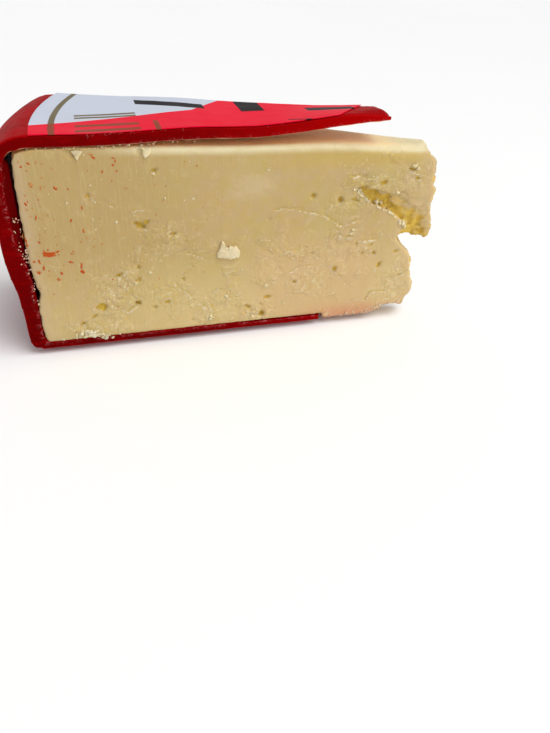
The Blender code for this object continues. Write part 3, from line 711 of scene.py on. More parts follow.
def cut_relief(u, v, marks, wobble, curds):
    """How deep each point of a cut face sinks, with masks for its tears, for the painted shade in its
    hollows and grooves, and for the painted highlight on its ridges.
    """
    pits, splits, tears = marks
    sunk = np.zeros(len(u))
    found = {key: np.zeros(len(u)) for key in ("hollow", "torn", "shaded_groove", "lit_ridge")}
    for pit in pits:
        reach = patch_reach(u, v, pit, 1.35) + 0.36 * wobble
        inside = smooth(1.20, 0.60, reach)
        sunk = np.maximum(sunk, 0.60 * pit[5] * inside)
        found["hollow"] = np.maximum(found["hollow"], inside * min(1.0, 0.35 + pit[5] / 0.0024))
        # Below each pit a raised lip, which gets a painted highlight
        lower = smooth(0.0002, -0.0006, (v - pit[1]) + 0.4 * (u - pit[0]))
        rim = np.exp(-(((reach - 1.38) / 0.24) ** 2)) * lower
        sunk -= 0.00012 * rim
        found["lit_ridge"] = np.maximum(found["lit_ridge"], 0.8 * rim)
    for line, step in splits:
        away, side = line_reach(u, v, line)
        side = side + 0.00020 * wobble
        ends = smooth(0.0032, 0.0004, away)
        # The lip on one side of a split gets a painted highlight and the seam on the other side painted
        # shade
        lip = np.exp(-(((side - 0.00045) / 0.00035) ** 2)) * ends
        seam = np.exp(-(((side + 0.00015) / 0.00030) ** 2)) * ends
        broad = np.exp(-away / 0.0013)
        sunk += np.where(side > 0, -step * 0.55 * broad, step * 0.45 * broad)
        sunk += step * (0.45 * seam - 0.9 * lip)
        found["shaded_groove"] = np.maximum(found["shaded_groove"], seam * min(1.0, step / 0.00024))
        found["lit_ridge"] = np.maximum(found["lit_ridge"], lip * min(1.0, step / 0.00024))
    for tear in tears:
        reach = np.hypot((u - tear[0]) / tear[2], (v - tear[1]) / tear[3]) + 0.45 * wobble
        share = smooth(1.1, 0.3, reach)
        found["torn"] = np.maximum(found["torn"], share)
        sunk += tear[4] * share * (0.95 - 1.6 * curds)
    return sunk, found


def notch_share(u, v, wobble):
    """1 inside the pointed notches in the front top edge."""
    found = np.zeros(len(u))
    for x, z, left, right in TOP_NOTCHES:
        run = np.where(u < x, (x - u) / left, (u - x) / right) * 0.0026
        found = np.maximum(found, smooth(-0.0002, 0.0003, v - z - run + 0.00015 * wobble))
    return found


def depth_inside(wheel, points):
    """How far each point lies inside the faces that the cheese had before it broke."""
    top = wheel.wax_height - wheel.lid_thickness
    front = points[:, 1] + wheel.front_cut
    beyond = points[:, 0] - wheel.apex
    back = -(beyond * math.sin(wheel.cut_angle) + front * math.cos(wheel.cut_angle))
    under = top - points[:, 2]
    return np.minimum.reduce([front, back, under, points[:, 2]])


def wax_outer_profile(wheel):
    radius, height = wheel.wax_radius, wheel.wax_height
    shoulder = []
    for i in range(12):
        turn = math.pi / 2 * i / 12
        drop = 0.0115 * (1.0 - math.cos(turn))
        shoulder.append((0.1035 + (radius - 0.1035) * math.sin(turn), height - drop))
    wall = smooth_line([
        (radius, height - 0.0115), (radius, 0.0430), (0.1153, 0.0335), (0.1145, 0.0255),
        (0.1134, 0.0190), (0.1128, 0.0110), (0.1128, 0.0050), (0.1120, 0.0012), (0.1098, 0.0),
    ])
    base = reversed(level_run(0.1098, 0.0, 10))
    return [*level_run(0.1035, height, 20), *shoulder, *wall, *base]


def wax_inner_profile(wheel):
    top = wheel.wax_height - wheel.lid_thickness
    base = wheel.floor_thickness
    rim = smooth_line([
        (0.1030, top), (0.1074, 0.0592), (0.1096, 0.0575), (0.1108, 0.0520), (0.1111, 0.0450),
        (0.1108, 0.0370), (0.1097, 0.0305), (0.1089, 0.0260), (0.1084, 0.0190),
        (0.1085, 0.0060), (0.1076, 0.0028), (0.1056, base),
    ])
    return [*level_run(0.1030, top, 20), *rim, *reversed(level_run(0.1056, base, 10))]


def cheese_profile(wheel):
    top = cheese_top(wheel)
    rim = smooth_line([
        (0.1022, top), (0.1062, 0.0589), (0.1078, 0.0572), (0.1084, 0.0500), (0.1085, 0.0400),
        (0.1085, 0.0280), (0.1081, 0.0220), (0.1072, 0.0184), (0.1082, 0.0150),
        (0.1084, 0.0060), (0.1073, 0.0022), (0.1046, 0.0002),
    ])
    return [*level_run(0.1022, top, 4), *rim, *reversed(level_run(0.1046, 0.0002, 4))]


def slanted_end(x, slant, front_cut, beyond, ragged=0.0):
    """An outline that reaches from x beyond it, or back from it, with its near side slanted."""
    draw = random.Random(3)
    reach = 0.15
    far = reach if beyond else -reach
    near = []
    for i in range(31):
        y = -0.012 + 0.040 * i / 30
        shift = ragged * draw.uniform(-1.0, 1.0)
        near.append((x - (y + front_cut) * math.tan(slant) + shift, y))
    return [*near, (far, near[-1][1]), (far, near[0][1])]


def make_cheese(wheel, look):
    """The cheese's solid with its broken nose and hollow, in fine even faces."""
    cheese = revolve("cheese_body", cheese_profile(wheel))
    combine(cheese, knife_wedge(wheel), "INTERSECT")
    room_end = wheel.floor_end + 0.0002
    room = slanted_end(room_end, wheel.floor_slant, wheel.front_cut, False)
    combine(cheese, block("floor_room", [(x, y * 3) for x, y in room], -0.01, 0.0021), "DIFFERENCE")
    closing = [(0.06, -0.0020), (0.06, 0.0640)]
    nose = outline_solid("nose_break", [*smooth_line(NOSE_OUTLINE, 3), *closing], 0.12)
    nose.data.transform(Matrix.Rotation(math.pi / 2, 4, "X"))
    shear = Matrix.Identity(4)
    shear[0][1] = 0.62
    shear[2][1] = -0.40
    front = Matrix.Translation((0.0, -wheel.front_cut, 0.0))
    nose.data.transform(front @ shear)
    combine(cheese, nose, "DIFFERENCE")
    rim = roughened(smooth_line(HOLLOW_OUTLINE, 4), 0.00012)
    hollow = outline_solid("nose_hollow", rim, 0.02)
    place = Matrix.Translation((0.0, -wheel.front_cut - 0.01 + 0.0027, 0.0))
    hollow.data.transform(place @ Matrix.Rotation(math.pi / 2, 4, "X"))
    lip = Vector((-0.002, 0.0, 0.036))
    across = Vector((0.55, 0.0, 0.83)).normalized()
    for spot in hollow.data.vertices:
        if spot.co.y > -wheel.front_cut:
            spot.co.y -= 0.19 * max(0.0, (spot.co - lip).dot(across))
    combine(cheese, hollow, "DIFFERENCE")
    remesh(cheese, look.voxel)
    return cheese


def round_edge(wheel, points, top):
    """Wears the bare front top edge round, more and more towards the nose, and returns where a painted
    highlight lies along that edge and over the top.
    """
    x = points[:, 0]
    bare = smooth(-0.094, -0.070, x)
    reach = 0.0015 + 0.0026 * smooth(-0.024, 0.006, x)
    in_from_front = points[:, 1] + wheel.front_cut
    down = top - points[:, 2] - top_sag(x)
    corner = np.stack([reach - in_from_front, reach - down], 1)
    length = np.linalg.norm(corner, axis=1)
    near = (in_from_front < reach) & (down < reach)
    over = np.where(near, np.maximum(0.0, length - reach) * bare, 0.0)
    pull = corner / np.maximum(length, 1e-9)[:, None] * over[:, None]
    points[:, 1] += pull[:, 0]
    points[:, 2] -= pull[:, 1]
    return smooth(0.0027, 0.0008, down) * bare


def shape_cheese(wheel, look, cheese):
    """Adds the relief of the cuts, the break and the rounded top edge, and stores the masks, which carry
    painted shade and painted highlights as well as tears and cuts.
    """
    mesh = cheese.data
    points = points_of(mesh)
    normals = normals_of(mesh)
    top = cheese_top(wheel)
    x, y, z = points.T
    front = smooth(0.0012, 0.0002, np.abs(y + wheel.front_cut)) * smooth(0.5, 0.9, -normals[:, 1])
    back_normal = back_facing(wheel)
    back_out = (points - np.array((wheel.apex, -wheel.front_cut, 0.0))) @ back_normal
    back = smooth(0.0012, 0.0002, np.abs(back_out)) * smooth(0.5, 0.9, normals @ back_normal)
    along_back = (x - wheel.apex) / math.cos(wheel.cut_angle)
    wobble = noise_field(points, 0.0010) + 0.5 * noise_field(points, 0.0005, 7.0)
    curds = curd_field(points, 0.0021)
    front_marks = (FRONT_PITS, FRONT_SPLITS, FRONT_TEARS)
    sunk_f, masks_f = cut_relief(x, z, front_marks, wobble, curds)
    sunk_b, masks_b = cut_relief(along_back, z, back_marks(), wobble, curds)
    notch = notch_share(x, z, wobble) * front
    sunk_f = np.maximum(sunk_f, 0.0007 * notch)

    broken = smooth(0.0004, 0.0014, depth_inside(wheel, points))
    broken = broken * smooth(wheel.floor_end + 0.001, wheel.floor_end + 0.005, x)
    bend = np.stack([noise_field(points, 0.0038, k * 5.0) for k in range(3)], 1)
    bent = points + bend * 0.0014
    plates, seams = facet_field(bent * np.array((1.0, 0.6, 1.0)), look.curd)
    bits, bit_seams = facet_field(bent, 0.0021, 3.0)
    grit = noise_field(points, 0.0009, 6.0)
    shift = 0.0013 * (plates - 0.5) + 0.0009 * (bits - 0.5) + 0.00016 * grit
    facing = smooth(0.15, 0.65, -normals[:, 1])
    shift = np.clip(shift, -0.0012, 0.0010) * broken * (0.34 + 0.66 * facing)

    waves = noise_field(points, 0.016) * 0.00020 + noise_field(points, 0.0042, 5.0) * 0.00012
    edge_low = smooth(0.005, 0.002, z)
    ragged = noise_field(points, 0.0014, 9.0) * 0.00026 * edge_low
    moved = points + normals * shift[:, None]
    moved[:, 1] += front * (sunk_f + waves + ragged)
    moved -= back_normal * (back * (sunk_b + waves + ragged))[:, None]
    rind = smooth(0.1058, 0.1075, np.hypot(x, y))
    moved[:, 0] += noise_field(points, 0.0016, 2.0) * 0.00030 * rind
    moved[:, 2] -= top_sag(x) * smooth(0.030, 0.058, z)
    top_highlight = round_edge(wheel, moved, top)
    moved[:, 2] += noise_field(points, 0.0012, 13.0) * 0.00030 * smooth(0.004, 0.0, z) * (x > -0.09)
    set_points(mesh, moved)

    # Painted shade: gold goes into the low facets of the break and deep into the nose's hollow, more where
    # they face forward; pits and notches get it through the hollow mask
    low = np.clip(0.5 - shift / (0.0004 + 0.0011 * facing), 0.0, 1.0) * broken
    in_hollow = smooth(0.0008, 0.0022, depth_inside(wheel, points)) * broken
    pits = np.maximum(masks_f["hollow"] * front, masks_b["hollow"] * back)
    set_mask(mesh, "hollow", np.maximum(pits, notch * 0.42))
    gold = (low * 0.65 + in_hollow * 0.48) * (0.50 + 0.50 * facing)
    set_mask(mesh, "gold", np.clip(gold, 0.0, 1.0))
    set_mask(mesh, "broken", broken)
    set_mask(mesh, "torn", np.maximum(masks_f["torn"] * front, masks_b["torn"] * back))
    # Painted shade along the grooves, painted highlight along the ridges and the seams between broken facets
    set_mask(mesh, "shaded_groove", np.maximum(masks_f["shaded_groove"] * front, masks_b["shaded_groove"] * back))
    seam_highlight = np.maximum(seams * 0.35, bit_seams * 0.15) * broken
    lit_ridge = np.maximum(masks_f["lit_ridge"] * front, masks_b["lit_ridge"] * back)
    set_mask(mesh, "lit_ridge", np.maximum(lit_ridge, seam_highlight))
    set_mask(mesh, "cut", np.maximum(front, back))
    set_mask(mesh, "top_highlight", top_highlight)


def lid_wave(points):
    """Shallow unevenness that the lid and the label share."""
    return noise_field(points * np.array((1.0, 1.0, 0.0)), 0.022, 4.0) * 0.00018


def make_wax(wheel, look):
    """The coat: lid, wall and floor in one piece, with its broken ends, in fine even faces."""
    wax = revolve("wax_skin", wax_outer_profile(wheel))
    combine(wax, revolve("room_for_cheese", wax_inner_profile(wheel)), "DIFFERENCE")
    combine(wax, knife_wedge(wheel), "INTERSECT")
    middle = wheel.wax_height / 2
    lid = slanted_end(wheel.lid_end, wheel.lid_slant, wheel.front_cut, True, RAGGED)
    combine(wax, block("lid_end", lid, middle, 0.09), "DIFFERENCE")
    low = slanted_end(wheel.floor_end, wheel.floor_slant, wheel.front_cut, True, RAGGED)
    combine(wax, block("floor_end", low, -0.01, middle), "DIFFERENCE")
    # A sheet of wax closes the gap at the rind, a little behind the front cut; the material darkens it with
    # painted shade, as the deep gap would be in shade
    behind = -wheel.front_cut + 0.0012
    gap_sheet_outline = [(-0.1130, behind), (-0.10885, behind), (-0.10880, behind + 0.0025), (-0.1130, behind + 0.0025)]
    combine(wax, block("gap_shade_sheet", gap_sheet_outline, 0.0225, 0.0560), "UNION")
    remesh(wax, look.voxel)
    return wax


def shape_wax(wheel, look, wax):
    """Lifts the lid, dents the wall and stores the masks."""
    mesh = wax.data
    points = points_of(mesh)
    normals = normals_of(mesh)
    x, y, z = points.T
    radius = np.hypot(x, y)
    outward = points * np.array((1.0, 1.0, 0.0)) / np.maximum(radius, 1e-6)[:, None]
    under = wheel.wax_height - wheel.lid_thickness - 0.0002
    held = smooth(under - 0.004, under, z)
    outside = smooth(wheel.wax_radius - 0.0030, wheel.wax_radius - 0.0010, radius)
    upright = smooth(0.004, 0.012, z)
    dents = look.wave * outside * upright * (noise_field(points, 0.019) - 0.15)
    fine = noise_field(points, 0.006, 8.0) * 0.00012 * smooth(0.106, 0.110, radius)
    # The inner wall and the gap behind the front cut are marked inside, and the material gives them painted
    # shade
    inside = smooth(0.1125, 0.1110, radius) * smooth(0.3, 0.8, -(normals * outward).sum(1))
    behind = y + wheel.front_cut
    shaded_gap = (radius < 0.1112) & (radius > 0.1080) & (behind > 0.0007) & (z > 0.02) & (z < 0.0575)
    inside = np.maximum(inside, shaded_gap)
    rough = noise_field(points, 0.0016, 6.0) * 0.00020 * inside
    moved = points + outward * (dents + fine + rough)[:, None]
    upper = smooth(wheel.wax_height - 0.0022, wheel.wax_height - 0.0002, z)
    lower_lid = held * smooth(0.4, 0.9, -normals[:, 2])
    moved[:, 2] += held * (lid_lift(wheel, x, y) + lid_wave(points))
    moved[:, 2] -= upper * tip_drop(wheel, x, y)
    moved[:, 2] += lower_lid * noise_field(points, 0.003, 1.0) * 0.00022
    thin = smooth(-0.060, wheel.floor_end, x) * (z < 0.01) * smooth(0.5, 0.9, normals[:, 2])
    moved[:, 2] -= thin * 0.0005
    front = smooth(0.0010, 0.0002, np.abs(y + wheel.front_cut)) * smooth(0.5, 0.9, -normals[:, 1])
    drawn = noise_field(points * np.array((0.35, 1.0, 1.0)), 0.0016, 3.0) * 0.00014
    moved[:, 1] += front * drawn
    set_points(mesh, moved)
    back_normal = back_facing(wheel)
    back = smooth(0.5, 0.9, normals @ back_normal) * (radius < wheel.wax_radius - 0.001)
    profile = wax_inner_profile(wheel)
    heights = np.array([p[1] for p in profile[20:-10]])[::-1]
    radii = np.array([p[0] for p in profile[20:-10]])[::-1]
    inner = np.interp(z, heights, radii)
    at_wall = smooth(0.0015, 0.0001, np.abs(radius - inner)) * (z < under) * (z > 0.004)
    at_floor = smooth(0.0012, 0.0002, np.abs(z - wheel.floor_thickness)) * (radius < 0.109)
    at_lid = smooth(0.0009, 0.0001, np.abs(z - under - 0.0002)) * smooth(-0.090, -0.070, x)
    cut = np.maximum(front, back)
    set_mask(mesh, "cut", cut)
    set_mask(mesh, "film", lower_lid * (1.0 - cut))
    set_mask(mesh, "inside", inside)
    set_mask(mesh, "rim", np.maximum.reduce([at_wall, at_floor * 0.8, at_lid * 0.9]) * cut)


def make_label(wheel):
    """The paper: a fine sheet that follows the lid, square at its edges."""
    across, along = 40, 150
    tangent = math.tan(wheel.cut_angle)
    front_end = Vector((wheel.label_end, -wheel.front_cut))
    run = (wheel.apex - wheel.label_end) * tangent / (1.0 + wheel.label_slant * tangent)
    back_end = front_end + Vector((wheel.label_slant * run, run))
    rim_front = math.asin(-wheel.front_cut / wheel.label_radius)
    offset = wheel.apex * tangent - wheel.front_cut
    square = 1.0 + tangent**2
    root = math.sqrt(wheel.label_radius**2 * square - offset**2)
    rim_x = (offset * tangent - root) / square
    rim_back = math.asin((offset - rim_x * tangent) / wheel.label_radius)
    corners = []
    for i in range(along + 1):
        for k in range(across + 1):
            start = front_end.lerp(back_end, k / across)
            turn = rim_front + (rim_back - rim_front) * k / across
            rim = Vector((-math.cos(turn), math.sin(turn))) * wheel.label_radius
            corners.append((*start.lerp(rim, i / along), 0.0))
    points = np.array(corners)
    height = wheel.wax_height + lid_lift(wheel, points[:, 0], points[:, 1]) + lid_wave(points)
    curl = noise_field(points, 0.004, 12.0) * 0.00005
    at_front = smooth(0.0012, 0.0, points[:, 1] + wheel.front_cut)
    at_front = at_front * smooth(-0.102, -0.098, points[:, 0])
    points[:, 1] += at_front * (0.00012 + 0.00016 * noise_field(points, 0.0022, 17.0))
    nothing = np.zeros(len(points))
    upper = points + np.stack([nothing, nothing, height + 0.00032 + curl], 1)
    lower = points + np.stack([nothing, nothing, height + 0.00008], 1)
    count = len(points)
    faces = []
    for i in range(along):
        for k in range(across):
            a = i * (across + 1) + k
            faces.append((a, a + 1, a + across + 2, a + across + 1))
            faces.append((count + a, count + a + across + 1, count + a + across + 2, count + a + 1))
    rim_loop = list(range(across + 1))
    rim_loop += [(i + 1) * (across + 1) - 1 for i in range(1, along + 1)]
    rim_loop += [along * (across + 1) + k for k in range(across - 1, -1, -1)]
    rim_loop += [i * (across + 1) for i in range(along - 1, 0, -1)]
    for a, b in zip(rim_loop, rim_loop[1:] + rim_loop[:1]):
        faces.append((b, a, count + a, count + b))
    mesh = bpy.data.meshes.new("label_sheet")
    mesh.from_pydata([tuple(p) for p in np.concatenate([upper, lower])], [], faces)
    form = bmesh.new()
    form.from_mesh(mesh)
    bmesh.ops.recalc_face_normals(form, faces=form.faces)
    form.to_mesh(mesh)
    form.free()
    return add_object("label_sheet", mesh)


def add_node(tree, kind, inputs=None, **settings):
    """Adds a node, sets it up and links the sockets among its inputs."""
    node = tree.nodes.new("ShaderNode" + kind)
    for key, value in settings.items():
        setattr(node, key, value)
    for key, value in (inputs or {}).items():
        if isinstance(value, bpy.types.NodeSocket):
            tree.links.new(value, node.inputs[key])
        else:
            node.inputs[key].default_value = value
    return node


def own_place(tree):
    """The place of a point in the wheel's own axes."""
    return add_node(tree, "TexCoord").outputs["Object"]


def split_axes(tree, place):
    axes = add_node(tree, "SeparateXYZ", {"Vector": place})
    return axes.outputs["X"], axes.outputs["Y"], axes.outputs["Z"]


def stretched(tree, place, scale, turn=(0.0, 0.0, 0.0)):
    """The place, turned and scaled by different amounts along the axes."""
    made = add_node(tree, "Mapping", {"Vector": place, "Scale": scale, "Rotation": turn})
    return made.outputs["Vector"]


def noise_value(tree, place, size, detail, rough, bend=0.0):
    """Noise from 0 to 1 with waves of this size in metres."""
    made = add_node(
        tree, "TexNoise",
        {"Vector": place, "Scale": 1.0 / size, "Detail": detail, "Roughness": rough,
         "Distortion": bend},
    )
    return made.outputs["Fac"]


def ramp(tree, value, low, high, start=0.0, end=1.0):
    """Maps low..high smoothly to start..end."""
    made = add_node(
        tree, "MapRange",
        {"Value": value, "From Min": low, "From Max": high, "To Min": start, "To Max": end},
        interpolation_type="SMOOTHSTEP",
    )
    return made.outputs["Result"]


def maths(tree, operation, a, b=0.0, c=0.0):
    made = add_node(tree, "Math", {0: a, 1: b}, operation=operation)
    if operation == "MULTIPLY_ADD":
        made.inputs[2].default_value = c
    return made.outputs[0]


def product(tree, *shares):
    """All the shares multiplied together."""
    total = shares[0]
    for share in shares[1:]:
        total = maths(tree, "MULTIPLY", total, share)
    return total


def mix_colour(tree, share, first, second):
    """Mixes two colours, given as sockets or plain numbers."""
    made = add_node(tree, "Mix", data_type="RGBA")
    for index, value in ((0, share), (6, first), (7, second)):
        if isinstance(value, bpy.types.NodeSocket):
            tree.links.new(value, made.inputs[index])
        elif index:
            made.inputs[index].default_value = (*value, 1.0)
        else:
            made.inputs[index].default_value = value
    return made.outputs[2]


def lay_over(tree, share, most, colour, other):
    """Covers a colour with another one as the share says, at most by this amount."""
    return mix_colour(tree, maths(tree, "MULTIPLY", share, most), colour, other)


def mask(tree, name):
    return add_node(tree, "Attribute", attribute_name=name).outputs["Fac"]


def tinted(colour, red, green, blue):
    return (colour[0] * red, colour[1] * green, colour[2] * blue)


def group_in_out(group, inputs, outputs):
    """Gives a node group its named sockets and returns its two ends."""
    face = group.interface
    for name, kind, value in inputs:
        socket = face.new_socket(name, in_out="INPUT", socket_type="NodeSocket" + kind)
        if value is not None:
            socket.default_value = value
    for name in outputs:
        face.new_socket(name, in_out="OUTPUT", socket_type="NodeSocketFloat")
    return group.nodes.new("NodeGroupInput"), group.nodes.new("NodeGroupOutput")


def grain_group():
    """Shared grain: soft mottling and fine grain at sizes that each material chooses."""
    found = bpy.data.node_groups.get("grain_and_mottling")
    if found:
        return found
    group = bpy.data.node_groups.new("grain_and_mottling", "ShaderNodeTree")
    start, end = group_in_out(
        group,
        [("Place", "Vector", None), ("Mottling size", "Float", 0.02),
         ("Grain size", "Float", 0.0006), ("Grain share", "Float", 0.5)],
        ["Mottling", "Grain"],
    )
    sizes = {}
    for name in ("Mottling size", "Grain size"):
        sizes[name] = maths(group, "DIVIDE", 1.0, start.outputs[name])
    wide = add_node(
        group, "TexNoise",
        {"Vector": start.outputs["Place"], "Scale": sizes["Mottling size"], "Detail": 4.0,
         "Roughness": 0.6},
    )
    fine = add_node(
        group, "TexNoise",
        {"Vector": start.outputs["Place"], "Scale": sizes["Grain size"], "Detail": 2.0},
    )
    cells = add_node(
        group, "TexVoronoi",
        {"Vector": start.outputs["Place"], "Scale": sizes["Grain size"]},
        feature="SMOOTH_F1",
    )
    both = add_node(group, "Mix", data_type="FLOAT")
    group.links.new(start.outputs["Grain share"], both.inputs[0])
    group.links.new(fine.outputs["Fac"], both.inputs[2])
    group.links.new(cells.outputs["Distance"], both.inputs[3])
    group.links.new(wide.outputs["Fac"], end.inputs["Mottling"])
    group.links.new(both.outputs[0], end.inputs["Grain"])
    return group


def speckle_group():
    """Shared specks: small irregular dots, a chosen share of which show."""
    found = bpy.data.node_groups.get("lone_specks")
    if found:
        return found
    group = bpy.data.node_groups.new("lone_specks", "ShaderNodeTree")
    start, end = group_in_out(
        group,
        [("Place", "Vector", None), ("Spacing", "Float", 0.002), ("Share", "Float", 0.1),
         ("Dot", "Float", 0.2)],
        ["Specks"],
    )
    cells = add_node(
        group, "TexVoronoi",
        {"Vector": start.outputs["Place"],
         "Scale": maths(group, "DIVIDE", 1.0, start.outputs["Spacing"])},
    )
    pick = add_node(group, "SeparateColor", {"Color": cells.outputs["Color"]})
    shown = maths(group, "LESS_THAN", pick.outputs[0], start.outputs["Share"])
    size = maths(group, "MULTIPLY", start.outputs["Dot"], pick.outputs[1])
    left = maths(group, "SUBTRACT", size, cells.outputs["Distance"])
    dot = ramp(group, left, -0.02, 0.04)
    group.links.new(maths(group, "MULTIPLY", dot, shown), end.inputs["Specks"])
    return group


def placed(tree, group, place, **values):
    """Places a shared group in a material with that material's own numbers."""
    made = tree.nodes.new("ShaderNodeGroup")
    made.node_tree = group
    tree.links.new(place, made.inputs["Place"])
    for name, value in values.items():
        made.inputs[name.replace("_", " ")].default_value = value
    return made


def grain(tree, place, mottling, size, share):
    made = placed(
        tree, grain_group(), place, Mottling_size=mottling, Grain_size=size, Grain_share=share
    )
    return made.outputs["Mottling"], made.outputs["Grain"]


def specks(tree, place, spacing, share, dot):
    made = placed(tree, speckle_group(), place, Spacing=spacing, Share=share, Dot=dot)
    return made.outputs["Specks"]


def new_material(name):
    material = bpy.data.materials.new(name)
    material.use_nodes = True
    return material, material.node_tree, material.node_tree.nodes["Principled BSDF"]


def bump(tree, height, strength, distance):
    made = add_node(tree, "Bump", {"Height": height, "Strength": strength, "Distance": distance})
    return made.outputs["Normal"]


def cheese_colour(tree, look, place, mottling, cloud):
    """The colour of sound cheese, from the rind to the nose and from the top down, with painted shade over
    the upper left and painted light along the bottom and towards the nose.
    """
    x, _, z = split_axes(tree, place)
    colour = mix_colour(tree, ramp(tree, mottling, 0.40, 0.60), look.body, look.warm)
    richer = noise_value(tree, place, 0.0034, 5.0, 0.62, 0.5)
    yellowish = tinted(look.body, 1.0, 0.95, 0.62)
    colour = mix_colour(tree, ramp(tree, richer, 0.40, 0.66, 0.0, 0.55), colour, yellowish)
    # Painted shade over the upper left of the cut
    upper_left_shade = product(tree, ramp(tree, x, -0.045, -0.085), ramp(tree, z, 0.012, 0.034))
    colour = lay_over(tree, upper_left_shade, 0.85, colour, look.upper_left_shade)
    at_rind = ramp(tree, x, -0.1035, -0.1075)
    dusky = tinted(look.body, 1.02, 0.98, 1.35)
    colour = lay_over(tree, at_rind, 0.75, colour, dusky)
    # Painted light: lighter along the bottom, as lit from the floor
    low = ramp(tree, z, 0.034, 0.006)
    low = maths(tree, "MULTIPLY", low, ramp(tree, x, -0.105, -0.050, 0.30, 0.80))
    colour = mix_colour(tree, low, colour, look.low)
    beige = product(
        tree, ramp(tree, z, 0.036, 0.022), ramp(tree, x, -0.052, -0.030), ramp(tree, x, 0.004, -0.006)
    )
    blush = (look.warm[0] * 1.16, look.warm[1] * 1.14, look.warm[2] * 1.20)
    colour = lay_over(tree, beige, 0.75, colour, blush)
    # Painted light: lighter and rosier towards the nose
    right = product(tree, ramp(tree, x, -0.006, 0.010), ramp(tree, z, 0.055, 0.030, 0.4, 1.0))
    lit_rosy = tinted(look.low, 0.95, 0.91, 0.97)
    colour = lay_over(tree, right, 0.75, colour, lit_rosy)
    band = product(
        tree, ramp(tree, z, 0.0505, 0.0545), ramp(tree, z, 0.0588, 0.0572),
        ramp(tree, x, -0.050, -0.022), ramp(tree, x, 0.012, 0.004),
    )
    yellow = (look.body[0] * 1.03, look.body[1] * 0.98, look.body[2] * 0.66)
    colour = lay_over(tree, band, 0.80, colour, yellow)
    colour = mix_colour(tree, ramp(tree, cloud, 0.54, 0.80, 0.0, 0.32), colour, look.pale)
    spot_x = ramp(tree, maths(tree, "ABSOLUTE", maths(tree, "ADD", x, 0.045)), 0.0095, 0.002)
    spot_z = ramp(tree, maths(tree, "ABSOLUTE", maths(tree, "ADD", z, -0.0475)), 0.0050, 0.001)
    dull = product(tree, spot_x, spot_z, ramp(tree, cloud, 0.35, 0.55, 0.08, 0.34))
    colour = mix_colour(tree, dull, colour, tinted(look.pale, 0.88, 0.82, 0.98))
    pink_place = product(
        tree, ramp(tree, z, 0.0075, 0.001), ramp(tree, x, -0.036, -0.016),
        ramp(tree, x, 0.004, -0.004, 0.4, 1.0),
    )
    pink = tinted(look.pale, 0.80, 0.43, 0.39)
    return lay_over(tree, pink_place, 0.80, colour, pink)


def torn_layers(tree, place, size, steps):
    """Layers that tore off: their height with crisp edges, the edge's upper side, which gets a painted
    highlight, and its foot, which gets painted shade.
    """
    field = noise_value(tree, place, size, 4.0, 0.55, 0.9)
    layer = maths(tree, "FRACT", maths(tree, "MULTIPLY", field, steps))
    return layer, ramp(tree, layer, 0.55, 0.99), ramp(tree, layer, 0.22, 0.02)


